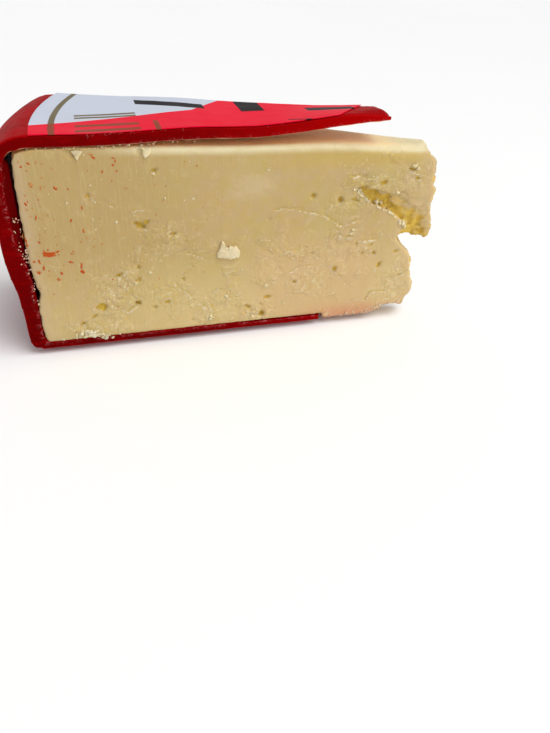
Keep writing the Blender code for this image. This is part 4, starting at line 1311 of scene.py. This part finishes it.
def cheese_material(look):
    """Cut cheese: mottled and translucent, with painted shade in gold in its hollows and grooves, painted
    highlights on its torn ridges and top edge, and a painted glow under the lid.
    """
    material, tree, shader = new_material("cut_cheese")
    place = own_place(tree)
    mottling, fine = grain(tree, place, 0.017, 0.0006, 0.35)
    cloud = noise_value(tree, place, 0.0050, 5.0, 0.60, 0.4)
    colour = cheese_colour(tree, look, place, mottling, cloud)
    x, y, z = split_axes(tree, place)
    turned = stretched(tree, place, (1.0, 1.0, 0.13), (0.0, math.radians(5), 0.0))
    streak = noise_value(tree, turned, 0.0008, 3.0, 0.6)
    drag = product(
        tree, ramp(tree, streak, 0.50, 0.70), ramp(tree, x, -0.045, -0.085, 0.2, 1.0),
        mask(tree, "cut"),
    )
    colour = lay_over(tree, drag, 0.09, colour, look.pale)
    chips = noise_value(tree, place, 0.0011, 4.0, 0.70, 0.5)
    torn = mask(tree, "torn")
    low = ramp(tree, z, 0.048, 0.014, 0.12, 0.90)
    zone = maths(tree, "MAXIMUM", low, ramp(tree, x, -0.024, -0.004, 0.0, 0.75))
    patchy = noise_value(tree, place, 0.0085, 3.0, 0.5)
    flaky = product(tree, zone, ramp(tree, patchy, 0.51, 0.60), ramp(tree, x, -0.101, -0.088))
    flaky = maths(tree, "MAXIMUM", flaky, maths(tree, "MULTIPLY", torn, 0.9))
    flaky = maths(tree, "MULTIPLY", flaky, mask(tree, "cut"))
    # Painted highlight on the upper side of each torn edge and painted shade at its foot, on flaky and torn
    # places; raised torn chips likewise
    layer, lit_crests, shaded_feet = torn_layers(tree, place, 0.0064, 6.0)
    lit_crests = product(tree, lit_crests, flaky, ramp(tree, chips, 0.44, 0.58))
    shaded_feet = product(tree, shaded_feet, flaky, ramp(tree, chips, 0.40, 0.54))
    colour = lay_over(tree, lit_crests, 0.74, colour, look.pale)
    colour = lay_over(tree, shaded_feet, 0.58, colour, look.deep)
    torn_highlight = product(tree, torn, ramp(tree, chips, 0.50, 0.62))
    colour = lay_over(tree, torn_highlight, 0.34, colour, look.pale)
    torn_shade = product(tree, torn, ramp(tree, chips, 0.44, 0.34))
    colour = lay_over(tree, torn_shade, 0.30, colour, look.deep)

    # Painted shade: gold over the low facets and hollow of the broken nose
    broken = mask(tree, "broken")
    gold = maths(tree, "ADD", mask(tree, "gold"), ramp(tree, chips, 0.30, 0.70, 0.16, -0.16))
    gold = product(tree, broken, ramp(tree, gold, 0.20, 0.72))
    shaded_gold = tinted(look.deep, 1.14, 1.14, 1.35)
    colour = lay_over(tree, gold, 0.88, colour, shaded_gold)

    # Painted highlight along the rounded top edge and over the top
    top_highlight = maths(tree, "MULTIPLY", mask(tree, "top_highlight"), ramp(tree, cloud, 0.30, 0.60, 0.75, 1.0))
    colour = lay_over(tree, top_highlight, 0.85, colour, (0.73, 0.65, 0.41))
    # Painted glow: warm light bounced from the red lid, laid over the cheese's top just under the lid
    lid_bounce_glow = product(
        tree, ramp(tree, z, 0.0540, 0.0556), ramp(tree, x, 0.006, -0.036, 0.25, 1.0),
        ramp(tree, x, 0.008, -0.006), ramp(tree, y, -0.0056, -0.0036),
    )
    colour = lay_over(tree, lid_bounce_glow, 0.90, colour, (0.97, 0.68, 0.32))

    # Painted shade in the grooves and a painted highlight on the ridges
    shaded_groove = maths(tree, "ADD", mask(tree, "shaded_groove"), ramp(tree, chips, 0.3, 0.7, -0.22, 0.22))
    seam = ramp(tree, shaded_groove, 0.45, 0.85)
    colour = lay_over(tree, seam, 0.50, colour, look.deep)
    lit_ridge = maths(tree, "ADD", mask(tree, "lit_ridge"), ramp(tree, chips, 0.3, 0.7, -0.30, 0.30))
    lit_crest = ramp(tree, lit_ridge, 0.50, 0.90)
    ridge_highlight = (0.84, 0.73, 0.53)
    colour = lay_over(tree, lit_crest, 0.62, colour, ridge_highlight)
    # Painted shade: gold in the pits and notches
    hollow = maths(tree, "ADD", mask(tree, "hollow"), ramp(tree, chips, 0.3, 0.7, -0.16, 0.16))
    pit = ramp(tree, hollow, 0.40, 0.66)
    colour = lay_over(tree, pit, 0.92, colour, look.deep)
    dots = specks(tree, place, 0.0022, 0.07, 0.17)
    colour = lay_over(tree, dots, 0.60, colour, (0.88, 0.78, 0.58))
    stained = specks(tree, stretched(tree, place, (1.0, 1.0, 0.6)), 0.0013, 0.10, 0.20)
    stained = product(tree, stained, mask(tree, "cut"), ramp(tree, x, -0.062, -0.092, 0.03, 1.0))
    stain = (look.body[0] * 0.92, look.body[1] * 0.50, look.body[2] * 0.35)
    colour = lay_over(tree, stained, 0.6, colour, stain)
    tree.links.new(colour, shader.inputs["Base Color"])

    rough = maths(tree, "ADD", ramp(tree, fine, 0.2, 0.8, 0.42, 0.58), maths(tree, "MULTIPLY", torn, 0.06))
    tree.links.new(rough, shader.inputs["Roughness"])
    shader.inputs["Subsurface Weight"].default_value = 0.25
    shader.inputs["Subsurface Radius"].default_value = (1.0, 0.62, 0.20)
    shader.inputs["Subsurface Scale"].default_value = 0.0024
    shader.inputs["Specular IOR Level"].default_value = 0.32
    relief = maths(tree, "MULTIPLY", fine, 0.28)
    for share, amount in (
        (cloud, 1.0), (drag, 0.20), (dots, 0.35), (product(tree, torn, chips), 1.2),
        (product(tree, broken, chips), 2.2), (seam, -0.7), (lit_crest, 0.8), (pit, -0.7),
        (product(tree, flaky, layer), 1.4),
    ):
        relief = maths(tree, "ADD", relief, maths(tree, "MULTIPLY", share, amount))
    tree.links.new(bump(tree, relief, 0.60, 0.0004), shader.inputs["Normal"])
    return material


def crumb_material(look):
    """Loose crumbs, cream on the cheese and pink beside the wax."""
    material, tree, shader = new_material("dry_crumbs")
    place = own_place(tree)
    mottling, fine = grain(tree, place, 0.003, 0.0004, 0.5)
    colour = mix_colour(tree, mask(tree, "pink"), look.cream, look.pink)
    colour = mix_colour(tree, ramp(tree, mottling, 0.45, 0.65, 0.0, 0.5), colour, (0.86, 0.76, 0.56))
    dimmer = tinted(look.cream, 0.86, 0.78, 0.66)
    colour = mix_colour(tree, ramp(tree, fine, 0.35, 0.65, 0.0, 0.45), colour, dimmer)
    tree.links.new(colour, shader.inputs["Base Color"])
    tree.links.new(ramp(tree, fine, 0.2, 0.8, 0.50, 0.70), shader.inputs["Roughness"])
    shader.inputs["Subsurface Weight"].default_value = 0.25
    shader.inputs["Subsurface Radius"].default_value = (1.0, 0.62, 0.22)
    shader.inputs["Subsurface Scale"].default_value = 0.0012
    shader.inputs["Specular IOR Level"].default_value = 0.25
    tree.links.new(bump(tree, fine, 0.5, 0.0002), shader.inputs["Normal"])
    return material


def fleck_material(look):
    """Thin smears of wax, from a faint film to full colour."""
    material, tree, shader = new_material("wax_flecks")
    place = own_place(tree)
    mottling, fine = grain(tree, place, 0.0012, 0.0003, 0.5)
    strength = maths(tree, "ADD", mask(tree, "strength"), ramp(tree, mottling, 0.3, 0.7, -0.35, 0.25))
    colour = mix_colour(tree, ramp(tree, strength, 0.25, 0.85), look.faint, look.fleck)
    tree.links.new(colour, shader.inputs["Base Color"])
    tree.links.new(ramp(tree, fine, 0.2, 0.8, 0.45, 0.60), shader.inputs["Roughness"])
    shader.inputs["Specular IOR Level"].default_value = 0.2
    tree.links.new(bump(tree, fine, 0.2, 0.0001), shader.inputs["Normal"])
    return material


def wax_material(look):
    """Dipped wax: dull and dark where it is cut, with painted light towards the lid's tip, painted glints on
    the cut, painted shade inside the gap, and pale dust and a film of cheese inside.
    """
    material, tree, shader = new_material("red_wax")
    place = own_place(tree)
    mottling, fine = grain(tree, place, 0.018, 0.0009, 0.3)
    x, _, z = split_axes(tree, place)
    cut = mask(tree, "cut")
    inside = mask(tree, "inside")
    deeper = tinted(look.body, 0.78, 0.7, 0.7)
    colour = mix_colour(tree, ramp(tree, mottling, 0.40, 0.62), look.body, deeper)
    # Painted light: the cut grows lighter towards the lid's tip, as lit from the right; it is also darker
    # towards the bottom
    face = mix_colour(tree, ramp(tree, x, -0.080, 0.000), look.cut, look.tip)
    low = ramp(tree, z, 0.036, 0.004, 0.0, 0.40)
    face = mix_colour(tree, low, face, tinted(look.cut, 0.40, 0.5, 0.5))
    drawn = noise_value(tree, stretched(tree, place, (0.25, 1.0, 1.0)), 0.0016, 4.0, 0.6)
    face = mix_colour(tree, ramp(tree, drawn, 0.45, 0.70, 0.0, 0.35), face, tinted(look.tip, 0.9, 1.0, 1.2))
    colour = mix_colour(tree, cut, colour, face)
    # Painted shade inside the gap and on the inner wall
    colour = mix_colour(tree, inside, colour, look.inside)
    film = maths(tree, "MULTIPLY", mask(tree, "film"), ramp(tree, drawn, 0.30, 0.60, 0.6, 0.95))
    colour = mix_colour(tree, film, colour, (0.86, 0.46, 0.26))
    scuff = noise_value(tree, stretched(tree, place, (1.0, 1.0, 0.5)), 0.0022, 5.0, 0.7)
    outer = maths(tree, "SUBTRACT", 1.0, maths(tree, "MAXIMUM", cut, inside))
    dusty = product(tree, ramp(tree, scuff, 0.58, 0.80), ramp(tree, mottling, 0.45, 0.65), outer)
    colour = lay_over(tree, dusty, 0.10, colour, look.dust_and_glints)
    crumbly = noise_value(tree, place, 0.0006, 3.0, 0.65)
    rim = product(tree, mask(tree, "rim"), ramp(tree, crumbly, 0.50, 0.64), ramp(tree, scuff, 0.42, 0.56))
    colour = lay_over(tree, rim, 0.80, colour, look.dust_and_glints)
    # Painted glints: small pale specks over the cut wax
    dots = product(tree, specks(tree, place, 0.0024, 0.16, 0.14), cut)
    colour = lay_over(tree, dots, 0.40, colour, look.dust_and_glints)
    tree.links.new(colour, shader.inputs["Base Color"])
    rough = maths(tree, "ADD", ramp(tree, scuff, 0.3, 0.8, 0.42, 0.60), maths(tree, "MULTIPLY", dusty, 0.2))
    tree.links.new(rough, shader.inputs["Roughness"])
    tree.links.new(maths(tree, "MULTIPLY", outer, 0.025), shader.inputs["Coat Weight"])
    shader.inputs["Coat Roughness"].default_value = 0.20
    shader.inputs["Subsurface Weight"].default_value = 0.30
    shader.inputs["Subsurface Radius"].default_value = (1.0, 0.05, 0.05)
    shader.inputs["Subsurface Scale"].default_value = 0.0020
    shader.inputs["Specular IOR Level"].default_value = 0.01
    relief = maths(tree, "ADD", maths(tree, "MULTIPLY", fine, 0.25), scuff)
    relief = maths(tree, "ADD", relief, product(tree, cut, drawn))
    relief = maths(tree, "ADD", relief, maths(tree, "MULTIPLY", rim, 0.8))
    tree.links.new(bump(tree, relief, 0.30, 0.0004), shader.inputs["Normal"])
    return material


def bar_share(tree, x, y, bar):
    """1 inside a plain bar of print, 0 outside it."""
    x0, x1, y0, y1, slope = bar[:5]
    level = maths(tree, "MULTIPLY_ADD", x, -slope, slope * x0)
    y = maths(tree, "ADD", y, level)
    soft = PRINT_EDGE
    return product(
        tree, ramp(tree, x, x0 - soft, x0 + soft), ramp(tree, x, x1 + soft, x1 - soft),
        ramp(tree, y, y0 - soft, y0 + soft), ramp(tree, y, y1 + soft, y1 - soft),
    )


def paper_material(look):
    """Coated paper with plain fields, a gold ring and plain bars."""
    material, tree, shader = new_material("printed_paper")
    place = own_place(tree)
    mottling, fine = grain(tree, place, 0.025, 0.0005, 0.2)
    x, y, _ = split_axes(tree, place)
    flat = add_node(tree, "CombineXYZ", {"X": x, "Y": y})
    radius = add_node(tree, "VectorMath", {0: flat.outputs[0]}, operation="LENGTH").outputs["Value"]
    line = maths(tree, "MULTIPLY_ADD", x, -0.195, -0.195 * 0.103 - 0.0024)
    first = ramp(tree, maths(tree, "ADD", y, line), PRINT_EDGE, -PRINT_EDGE)
    steep = maths(tree, "MULTIPLY_ADD", x, -1.07, -0.0741)
    second = ramp(tree, maths(tree, "ADD", y, steep), PRINT_EDGE, -PRINT_EDGE)
    red = maths(tree, "MAXIMUM", first, second)
    colour = mix_colour(tree, red, look.white, look.red)
    black = None
    gold = product(tree, ramp(tree, radius, 0.0966, 0.0968), ramp(tree, radius, 0.0984, 0.0982))
    for bar in LABEL_BARS:
        share = bar_share(tree, x, y, bar)
        if bar[5]:
            gold = maths(tree, "MAXIMUM", gold, share)
        else:
            black = share if black is None else maths(tree, "MAXIMUM", black, share)
    foil = mix_colour(tree, red, look.gold, look.gold_on_red)
    colour = mix_colour(tree, gold, colour, foil)
    colour = mix_colour(tree, black, colour, look.black)
    soil = ramp(tree, mottling, 0.5, 0.8, 0.0, 0.10)
    colour = mix_colour(tree, soil, colour, (0.40, 0.37, 0.39))
    tree.links.new(colour, shader.inputs["Base Color"])
    tree.links.new(ramp(tree, mottling, 0.3, 0.7, 0.42, 0.52), shader.inputs["Roughness"])
    shader.inputs["Specular IOR Level"].default_value = 0.05
    tree.links.new(bump(tree, fine, 0.12, 0.0001), shader.inputs["Normal"])
    return material


def fibre_material(look):
    """Torn paper fibres, stained by the wax."""
    material, tree, shader = new_material("paper_fibre")
    place = own_place(tree)
    mottling, fine = grain(tree, place, 0.004, 0.0004, 0.5)
    reddish = tinted(look.fibre, 1.0, 0.35, 0.35)
    colour = mix_colour(tree, ramp(tree, mottling, 0.35, 0.65), look.fibre, reddish)
    tree.links.new(colour, shader.inputs["Base Color"])
    shader.inputs["Roughness"].default_value = 0.7
    tree.links.new(bump(tree, fine, 0.2, 0.0001), shader.inputs["Normal"])
    return material


def floor_material(look):
    """Plain, matt and pale."""
    material, tree, shader = new_material("plain_floor")
    place = own_place(tree)
    mottling, fine = grain(tree, place, 0.30, 0.004, 0.2)
    dimmer = tinted(look.floor, 0.99, 0.99, 0.99)
    colour = mix_colour(tree, ramp(tree, mottling, 0.3, 0.7), look.floor, dimmer)
    tree.links.new(colour, shader.inputs["Base Color"])
    shader.inputs["Roughness"].default_value = 0.9
    shader.inputs["Specular IOR Level"].default_value = 0.1
    tree.links.new(bump(tree, fine, 0.05, 0.0002), shader.inputs["Normal"])
    return material


def put_on_axis(obj, node, material):
    """Stands a finished piece on the wheel's axis and hands it to the frame."""
    obj.data.materials.clear()
    obj.data.materials.append(material)
    obj.data.shade_smooth()
    obj.location = axis_place()
    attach(obj, "root")
    if node:
        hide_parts(node)


def front_finder(wheel):
    """Returns a function that tells how far forward the cheese's front surface stands."""
    cheese = bpy.data.objects.get("cheese_body")
    if cheese is None:
        return lambda x, z: -wheel.front_cut
    form = bmesh.new()
    form.from_mesh(cheese.data)
    tree = BVHTree.FromBMesh(form)
    form.free()

    def find(x, z):
        hit, _, _, _ = tree.ray_cast(Vector((x, -0.05, z)), Vector((0.0, 1.0, 0.0)), 0.08)
        return hit.y if hit else -wheel.front_cut

    return find


def crumb_places(wheel, look):
    """Where crumbs lie: place, size, how flat they are and how pink."""
    draw = random.Random(7)
    front = front_finder(wheel)
    found = []

    def drop(x, z, size, flat=(0.4, 0.9), pink=0.0, out=0.0):
        found.append((Vector((x, front(x, z) - out, z)), size, draw.uniform(*flat), pink))

    for _ in range(look.count):
        left = draw.random() < 0.5
        x = draw.uniform(-0.106, -0.060) if left else draw.uniform(-0.060, 0.010)
        drop(x, draw.uniform(0.004, 0.056), draw.uniform(0.00008, 0.00020))
    for _ in range(64):
        high = draw.random() < 0.5
        height = draw.uniform(0.028, 0.042) if high else draw.uniform(0.015, 0.032)
        away = draw.uniform(0.1083, 0.1106) if high else draw.uniform(0.1080, 0.1092)
        spot = Vector((-away, -wheel.front_cut + draw.uniform(-0.0002, 0.0007), height))
        found.append((spot, draw.uniform(0.00010, 0.00032), 0.8, draw.uniform(0.5, 1.0)))
    for _ in range(40):
        u = draw.gauss(-0.0955, 0.0035)
        near = max(0.0, 1.0 - abs(u + 0.0955) / 0.009)
        drop(u, 0.0026 + draw.uniform(0.0, 0.0022) * near, draw.uniform(0.00020, 0.00035 + 0.00045 * near),
             out=0.0001)
    for _ in range(14):
        drop(draw.uniform(-0.0975, -0.0925), draw.uniform(0.0028, 0.0052), draw.uniform(0.0005, 0.0010),
             (0.25, 0.45))
    for _ in range(12):
        drop(draw.gauss(-0.0900, 0.0010), draw.uniform(0.0014, 0.0026), draw.uniform(0.0003, 0.0006),
             pink=0.15, out=0.0003)
    for x, z, size in FLAKES:
        drop(x, z, size, (0.35, 0.6))
        for _ in range(2):
            drop(x + draw.gauss(0.0, size), z + draw.gauss(0.0, size), size * draw.uniform(0.2, 0.45))
    for line, _ in FRONT_SPLITS:
        for (x0, z0), (x1, z1) in zip(line[:-1], line[1:]):
            for _ in range(draw.randint(0, 2)):
                t = draw.random()
                x = x0 + (x1 - x0) * t + draw.gauss(0.0, 0.0004)
                z = z0 + (z1 - z0) * t + draw.gauss(0.0, 0.0004)
                drop(x, z, draw.uniform(0.00012, 0.00032), (0.3, 0.6))
    lip = HOLLOW_OUTLINE[:6]
    for (x0, z0), (x1, z1) in zip(lip[:-1], lip[1:]):
        for _ in range(7):
            t = draw.random()
            x = x0 + (x1 - x0) * t - draw.uniform(0.0, 0.0008)
            z = z0 + (z1 - z0) * t - draw.uniform(0.0, 0.0008)
            drop(x, z, draw.uniform(0.00025, 0.00060), (0.4, 0.7))
    for _ in range(46):
        x = draw.uniform(-0.012, 0.0115)
        z = 0.0005 + 0.0022 * smooth(-0.004, 0.006, x) + draw.uniform(0.0, 0.0012)
        drop(x, float(z), draw.uniform(0.00020, 0.00050), pink=draw.uniform(0.2, 0.9))
    for _ in range(50):
        x = draw.uniform(-0.104, -0.060)
        under = cheese_top(wheel) + float(lid_lift(wheel, x, -wheel.front_cut))
        spot = Vector((x, -wheel.front_cut - 0.00003, under + draw.uniform(-0.0003, 0.0003)))
        found.append((spot, draw.uniform(0.00008, 0.00024), 0.6, draw.uniform(0.3, 1.0)))
    return found


def chip_outline(draw, size):
    """An angular outline of about this half size."""
    count = draw.randint(5, 7)
    shape = []
    for i in range(count):
        turn = 2 * math.pi * (i + draw.uniform(-0.25, 0.25)) / count
        reach = size * draw.uniform(0.65, 1.25)
        shape.append((reach * math.cos(turn), 0.75 * reach * math.sin(turn)))
    return shape


def add_chip(form, pinkness, front, chip, pink, seed):
    """A broken chip: steep sides that crumble and a nearly flat front."""
    x_at, z_at, thickness, outline = chip
    draw = random.Random(seed)
    uneven_by = 0.016 * max(abs(x) for x, _ in outline) + 0.00001
    rim = []
    for (x0, z0), (x1, z1) in zip(outline, outline[1:] + outline[:1]):
        for k in range(4):
            x = x0 + (x1 - x0) * k / 4 + draw.gauss(0.0, uneven_by)
            rim.append((x, z0 + (z1 - z0) * k / 4 + draw.gauss(0.0, uneven_by)))
    rings = []
    steps = ((1.0, -0.3), (1.02, 0.25), (0.99, 0.6), (0.95, 0.9), (0.8, 1.0), (0.5, 1.08), (0.2, 1.0))
    for share, rise in steps:
        ring = []
        for x, z in rim:
            u, v = x_at + x * share, z_at + z * share
            uneven = 1.0 + 0.35 * noise.noise(Vector((u, v, 0.0)) / 0.0011)
            vert = form.verts.new((u, front(u, v) - thickness * rise * uneven, v))
            vert[pinkness] = pink
            ring.append(vert)
        rings.append(ring)
    for low, high in zip(rings[:-1], rings[1:]):
        for k in range(len(rim)):
            n = (k + 1) % len(rim)
            form.faces.new((low[k], low[n], high[n], high[k]))
    form.faces.new(rings[0][::-1])
    form.faces.new(rings[-1])


def make_crumbs(wheel, look):
    """All loose crumbs and specks in one mesh."""
    form = bmesh.new()
    pinkness = form.verts.layers.float.new("pink")
    front = front_finder(wheel)
    draw = random.Random(41)
    for i, chip in enumerate(CHIPS):
        add_chip(form, pinkness, front, chip, 0.0, i)
    for i, (spot, size, flat, pink) in enumerate(crumb_places(wheel, look)):
        if size > 0.00042:
            chip = (spot.x, spot.z, size * draw.uniform(0.5, 0.9), chip_outline(draw, size))
            add_chip(form, pinkness, front, chip, pink, i)
            continue
        detail = 3 if size > 0.0003 else 2
        made = bmesh.ops.create_icosphere(form, subdivisions=detail, radius=1.0)["verts"]
        turn = Matrix.Rotation(i * 2.4, 3, "Y") @ Matrix.Rotation(0.4 * math.sin(i), 3, "X")
        shape = Vector((1.0, flat, 0.72 + 0.28 * math.sin(i * 1.7)))
        seed = Vector((i * 3.1, i * 1.7, 0.0))
        for vert in made:
            bulge = 1.0 + 0.50 * noise.noise(vert.co * 1.5 + seed)
            bulge += 0.30 * noise.noise(vert.co * 3.3 + seed)
            local = Vector(a * b for a, b in zip(vert.co * bulge, shape))
            vert.co = turn @ local * size + spot
            vert[pinkness] = pink
    return object_from(form, "crumbs")


def make_flecks(wheel):
    """Thin irregular smears of wax that lie on the front cut."""
    draw = random.Random(19)
    front = front_finder(wheel)
    rows = list(WAX_FLECKS)
    for _ in range(70):
        x = -0.107 + 0.050 * draw.random() ** 1.6
        z = draw.uniform(0.018, 0.057)
        rows.append((x, z, draw.uniform(0.0003, 0.0008), draw.uniform(0.0002, 0.0004),
                     draw.gauss(80, 25), draw.uniform(0.2, 0.6)))
    form = bmesh.new()
    strengths = form.verts.layers.float.new("strength")
    for i, (x, z, length, width, tilt, strength) in enumerate(rows):
        rings, around = 4, 22
        turn = math.radians(tilt)
        seed = Vector((i * 5.3, i * 2.9, 0.0))
        loops = []
        for ring in range(1, rings + 1):
            share = ring / rings
            loop = []
            for k in range(around):
                angle = 2 * math.pi * k / around
                way = Vector((math.cos(angle), math.sin(angle), 0.0))
                uneven = 1.0 + 0.55 * noise.noise(way * 1.7 + seed) + 0.45 * noise.noise(way * 4.0 + seed)
                along = way.x * length * 0.66 * share * uneven
                across = way.y * width * 0.78 * share * uneven
                u = x + along * math.cos(turn) - across * math.sin(turn)
                v = z + along * math.sin(turn) + across * math.cos(turn)
                rise = 0.00007 * (1.0 - share**2) - 0.00004 * share**4
                vert = form.verts.new((u, front(u, v) - rise, v))
                vert[strengths] = strength * (1.0 - 0.70 * share**3)
                loop.append(vert)
            loops.append(loop)
        middle = form.verts.new((x, front(x, z) - 0.00008, z))
        middle[strengths] = strength
        for k in range(around):
            form.faces.new((middle, loops[0][k], loops[0][(k + 1) % around]))
        for low, high in zip(loops[:-1], loops[1:]):
            for k in range(around):
                n = (k + 1) % around
                form.faces.new((low[k], high[k], high[n], low[n]))
    bmesh.ops.recalc_face_normals(form, faces=form.faces)
    return object_from(form, "wax_flecks")


def make_fibres(wheel):
    """Short paper fibres pulled out of the label's front edge by the knife."""
    draw = random.Random(21)
    form = bmesh.new()
    for _ in range(22):
        torn_run = draw.random() < 0.6
        x = draw.uniform(-0.090, -0.064) if torn_run else draw.uniform(-0.100, -0.026)
        lift = float(lid_lift(wheel, x, -wheel.front_cut))
        length = draw.uniform(0.0003, 0.0011)
        start = Vector((x, -wheel.front_cut - 0.00002, wheel.wax_height + lift + 0.0001))
        heading = Vector((draw.uniform(-0.9, 0.5), -0.20, -draw.uniform(0.2, 0.8))).normalized()
        bend = Vector((draw.uniform(-0.3, 0.3), 0.0, draw.uniform(-0.2, 0.6)))
        thick = draw.uniform(0.00003, 0.00006)
        rings = []
        for i in range(6):
            t = i / 5
            centre = start + heading * (length * t) + bend * (length * t * t * 0.5)
            side = Vector((-heading.z, 0.0, heading.x)).normalized()
            up = side.cross(heading).normalized()
            r = thick * (1.0 - 0.6 * t)
            corners = ((1, 0), (0, 1), (-1, 0), (0, -1))
            rings.append([form.verts.new(centre + side * a * r + up * b * r) for a, b in corners])
        for low, high in zip(rings[:-1], rings[1:]):
            for k in range(4):
                form.faces.new((low[k], low[(k + 1) % 4], high[(k + 1) % 4], high[k]))
        form.faces.new(rings[0][::-1])
        form.faces.new(rings[-1])
    bmesh.ops.recalc_face_normals(form, faces=form.faces)
    return object_from(form, "paper_fibres")


class CheeseBodyOperator(Operator):
    """Builds the cheese with its cuts, pits, splits and broken nose"""

    bl_idname = "cheese_wedge.body"
    bl_label = "Cheese"

    def execute(self, context):
        wheel, look = context.scene.cheese_wheel, context.scene.cheese_look
        cheese = make_cheese(wheel, look)
        shape_cheese(wheel, look, cheese)
        put_on_axis(cheese, "cheese", cheese_material(look))
        return {"FINISHED"}


class WaxCoatOperator(Operator):
    """Builds the wax coat with its lifted lid"""

    bl_idname = "cheese_wedge.wax"
    bl_label = "Wax coat"

    def execute(self, context):
        wheel, look = context.scene.cheese_wheel, context.scene.cheese_wax
        wax = make_wax(wheel, look)
        shape_wax(wheel, look, wax)
        put_on_axis(wax, "wax_coat", wax_material(look))
        return {"FINISHED"}


class LabelOperator(Operator):
    """Builds the printed label and the fibres at its cut edge"""

    bl_idname = "cheese_wedge.label"
    bl_label = "Label"

    def execute(self, context):
        wheel, look = context.scene.cheese_wheel, context.scene.cheese_label
        label = make_label(wheel)
        put_on_axis(label, "paper_label", paper_material(look))
        label.data.set_sharp_from_angle(angle=math.radians(40))
        put_on_axis(make_fibres(wheel), None, fibre_material(look))
        return {"FINISHED"}


class CrumbsOperator(Operator):
    """Scatters loose crumbs over the front cut and the gap, and lays the smears of wax"""

    bl_idname = "cheese_wedge.crumbs"
    bl_label = "Crumbs and smears"

    def execute(self, context):
        wheel, look = context.scene.cheese_wheel, context.scene.cheese_crumbs
        put_on_axis(make_crumbs(wheel, look), None, crumb_material(look))
        put_on_axis(make_flecks(wheel), None, fleck_material(look))
        return {"FINISHED"}


class StageOperator(Operator):
    """Makes the floor, the soft lights and the camera"""

    bl_idname = "cheese_wedge.stage"
    bl_label = "Stage"

    def execute(self, context):
        look = context.scene.cheese_stage
        make_floor(look)
        make_lights(look)
        make_camera()
        return {"FINISHED"}


def make_floor(look):
    """A wide floor that rises gently far behind."""
    run = [(-2.5, 0.0), (1.0, 0.0), (1.7, 0.03), (2.4, 0.16), (3.2, 0.42), (4.2, 0.80), (6.0, 1.50)]
    line = smooth_line(run, 6)
    corners = [(side, y, z) for y, z in line for side in (-6.0, 10.0)]
    faces = [(2 * i, 2 * i + 1, 2 * i + 3, 2 * i + 2) for i in range(len(line) - 1)]
    mesh = bpy.data.meshes.new("floor")
    mesh.from_pydata(corners, [], faces)
    mesh.materials.append(floor_material(look))
    mesh.shade_smooth()
    add_object("floor", mesh)


def add_lamp(name, kind, place, target, energy, size, colour):
    """Adds a disk lamp of this size, or a sun of this width, aimed at the target."""
    lamp = bpy.data.lights.new(name, kind)
    if kind == "AREA":
        lamp.shape = "DISK"
        lamp.size = size
    else:
        lamp.angle = size
    lamp.energy = energy
    lamp.color = colour
    made = bpy.data.objects.new(name, lamp)
    bpy.context.scene.collection.objects.link(made)
    made.location = place
    made.rotation_euler = (Vector(target) - Vector(place)).to_track_quat("-Z", "Y").to_euler()


def make_lights(look):
    """Soft light from all round, a wide sun from above and a weak lamp before the front cut."""
    world = bpy.data.worlds.new("soft_room")
    bpy.context.scene.world = world
    world.use_nodes = True
    sky = world.node_tree.nodes["Background"]
    sky.inputs["Color"].default_value = (0.97, 0.98, 1.0, 1.0)
    sky.inputs["Strength"].default_value = look.sky
    above = (0.38, -0.30, 0.87)
    middle = (0.0, 0.0, 0.03)
    add_lamp("sun", "SUN", above, middle, look.sun, look.softness, (1.0, 0.995, 0.98))
    add_lamp("front", "AREA", (0.45, -0.60, 0.30), middle, look.fill, 0.5, (1.0, 0.98, 0.95))


def make_camera():
    """The photograph's point of view, measured from the wheel's axis."""
    lens = bpy.data.cameras.new("camera")
    lens.sensor_width = 36.0
    lens.lens = VIEW_LENS
    lens.clip_start = 0.01
    lens.clip_end = 20.0
    made = bpy.data.objects.new("camera", lens)
    bpy.context.scene.collection.objects.link(made)
    turn = Matrix((VIEW_RIGHT, VIEW_UP, -Vector(VIEW_AHEAD))).transposed()
    spot = axis_place() + Vector(VIEW_PLACE)
    made.matrix_world = Matrix.Translation(spot) @ turn.to_4x4()
    bpy.context.scene.camera = made
    bpy.context.scene.view_settings.view_transform = "Standard"


class CheesePanel(Panel):
    """Lists the pieces and their sizes and colours"""

    bl_idname = "VIEW3D_PT_cheese_wedge"
    bl_label = "Cheese wedge"
    bl_space_type = "VIEW_3D"
    bl_region_type = "UI"
    bl_category = "Cheese"

    def draw(self, context):
        layout = self.layout
        for operator in PIECES:
            layout.operator(operator.bl_idname)
        for name in GROUPS:
            group = getattr(context.scene, name)
            box = layout.box()
            for key in group.__annotations__:
                box.prop(group, key)


GROUPS = {
    "cheese_wheel": WheelSizes,
    "cheese_look": CheeseLook,
    "cheese_crumbs": CrumbLook,
    "cheese_wax": WaxLook,
    "cheese_label": LabelLook,
    "cheese_stage": StageLook,
}
PIECES = (CheeseBodyOperator, WaxCoatOperator, LabelOperator, CrumbsOperator, StageOperator)
CLASSES = (*GROUPS.values(), *PIECES, CheesePanel)


def register():
    for item in CLASSES:
        bpy.utils.register_class(item)
    for name, group in GROUPS.items():
        setattr(bpy.types.Scene, name, PointerProperty(type=group))


def unregister():
    for name in GROUPS:
        delattr(bpy.types.Scene, name)
    for item in reversed(CLASSES):
        bpy.utils.unregister_class(item)


def main():
    register()
    bpy.ops.cheese_wedge.body()
    bpy.ops.cheese_wedge.wax()
    bpy.ops.cheese_wedge.label()
    bpy.ops.cheese_wedge.crumbs()
    bpy.ops.cheese_wedge.stage()


if __name__ == "__main__":
    main()
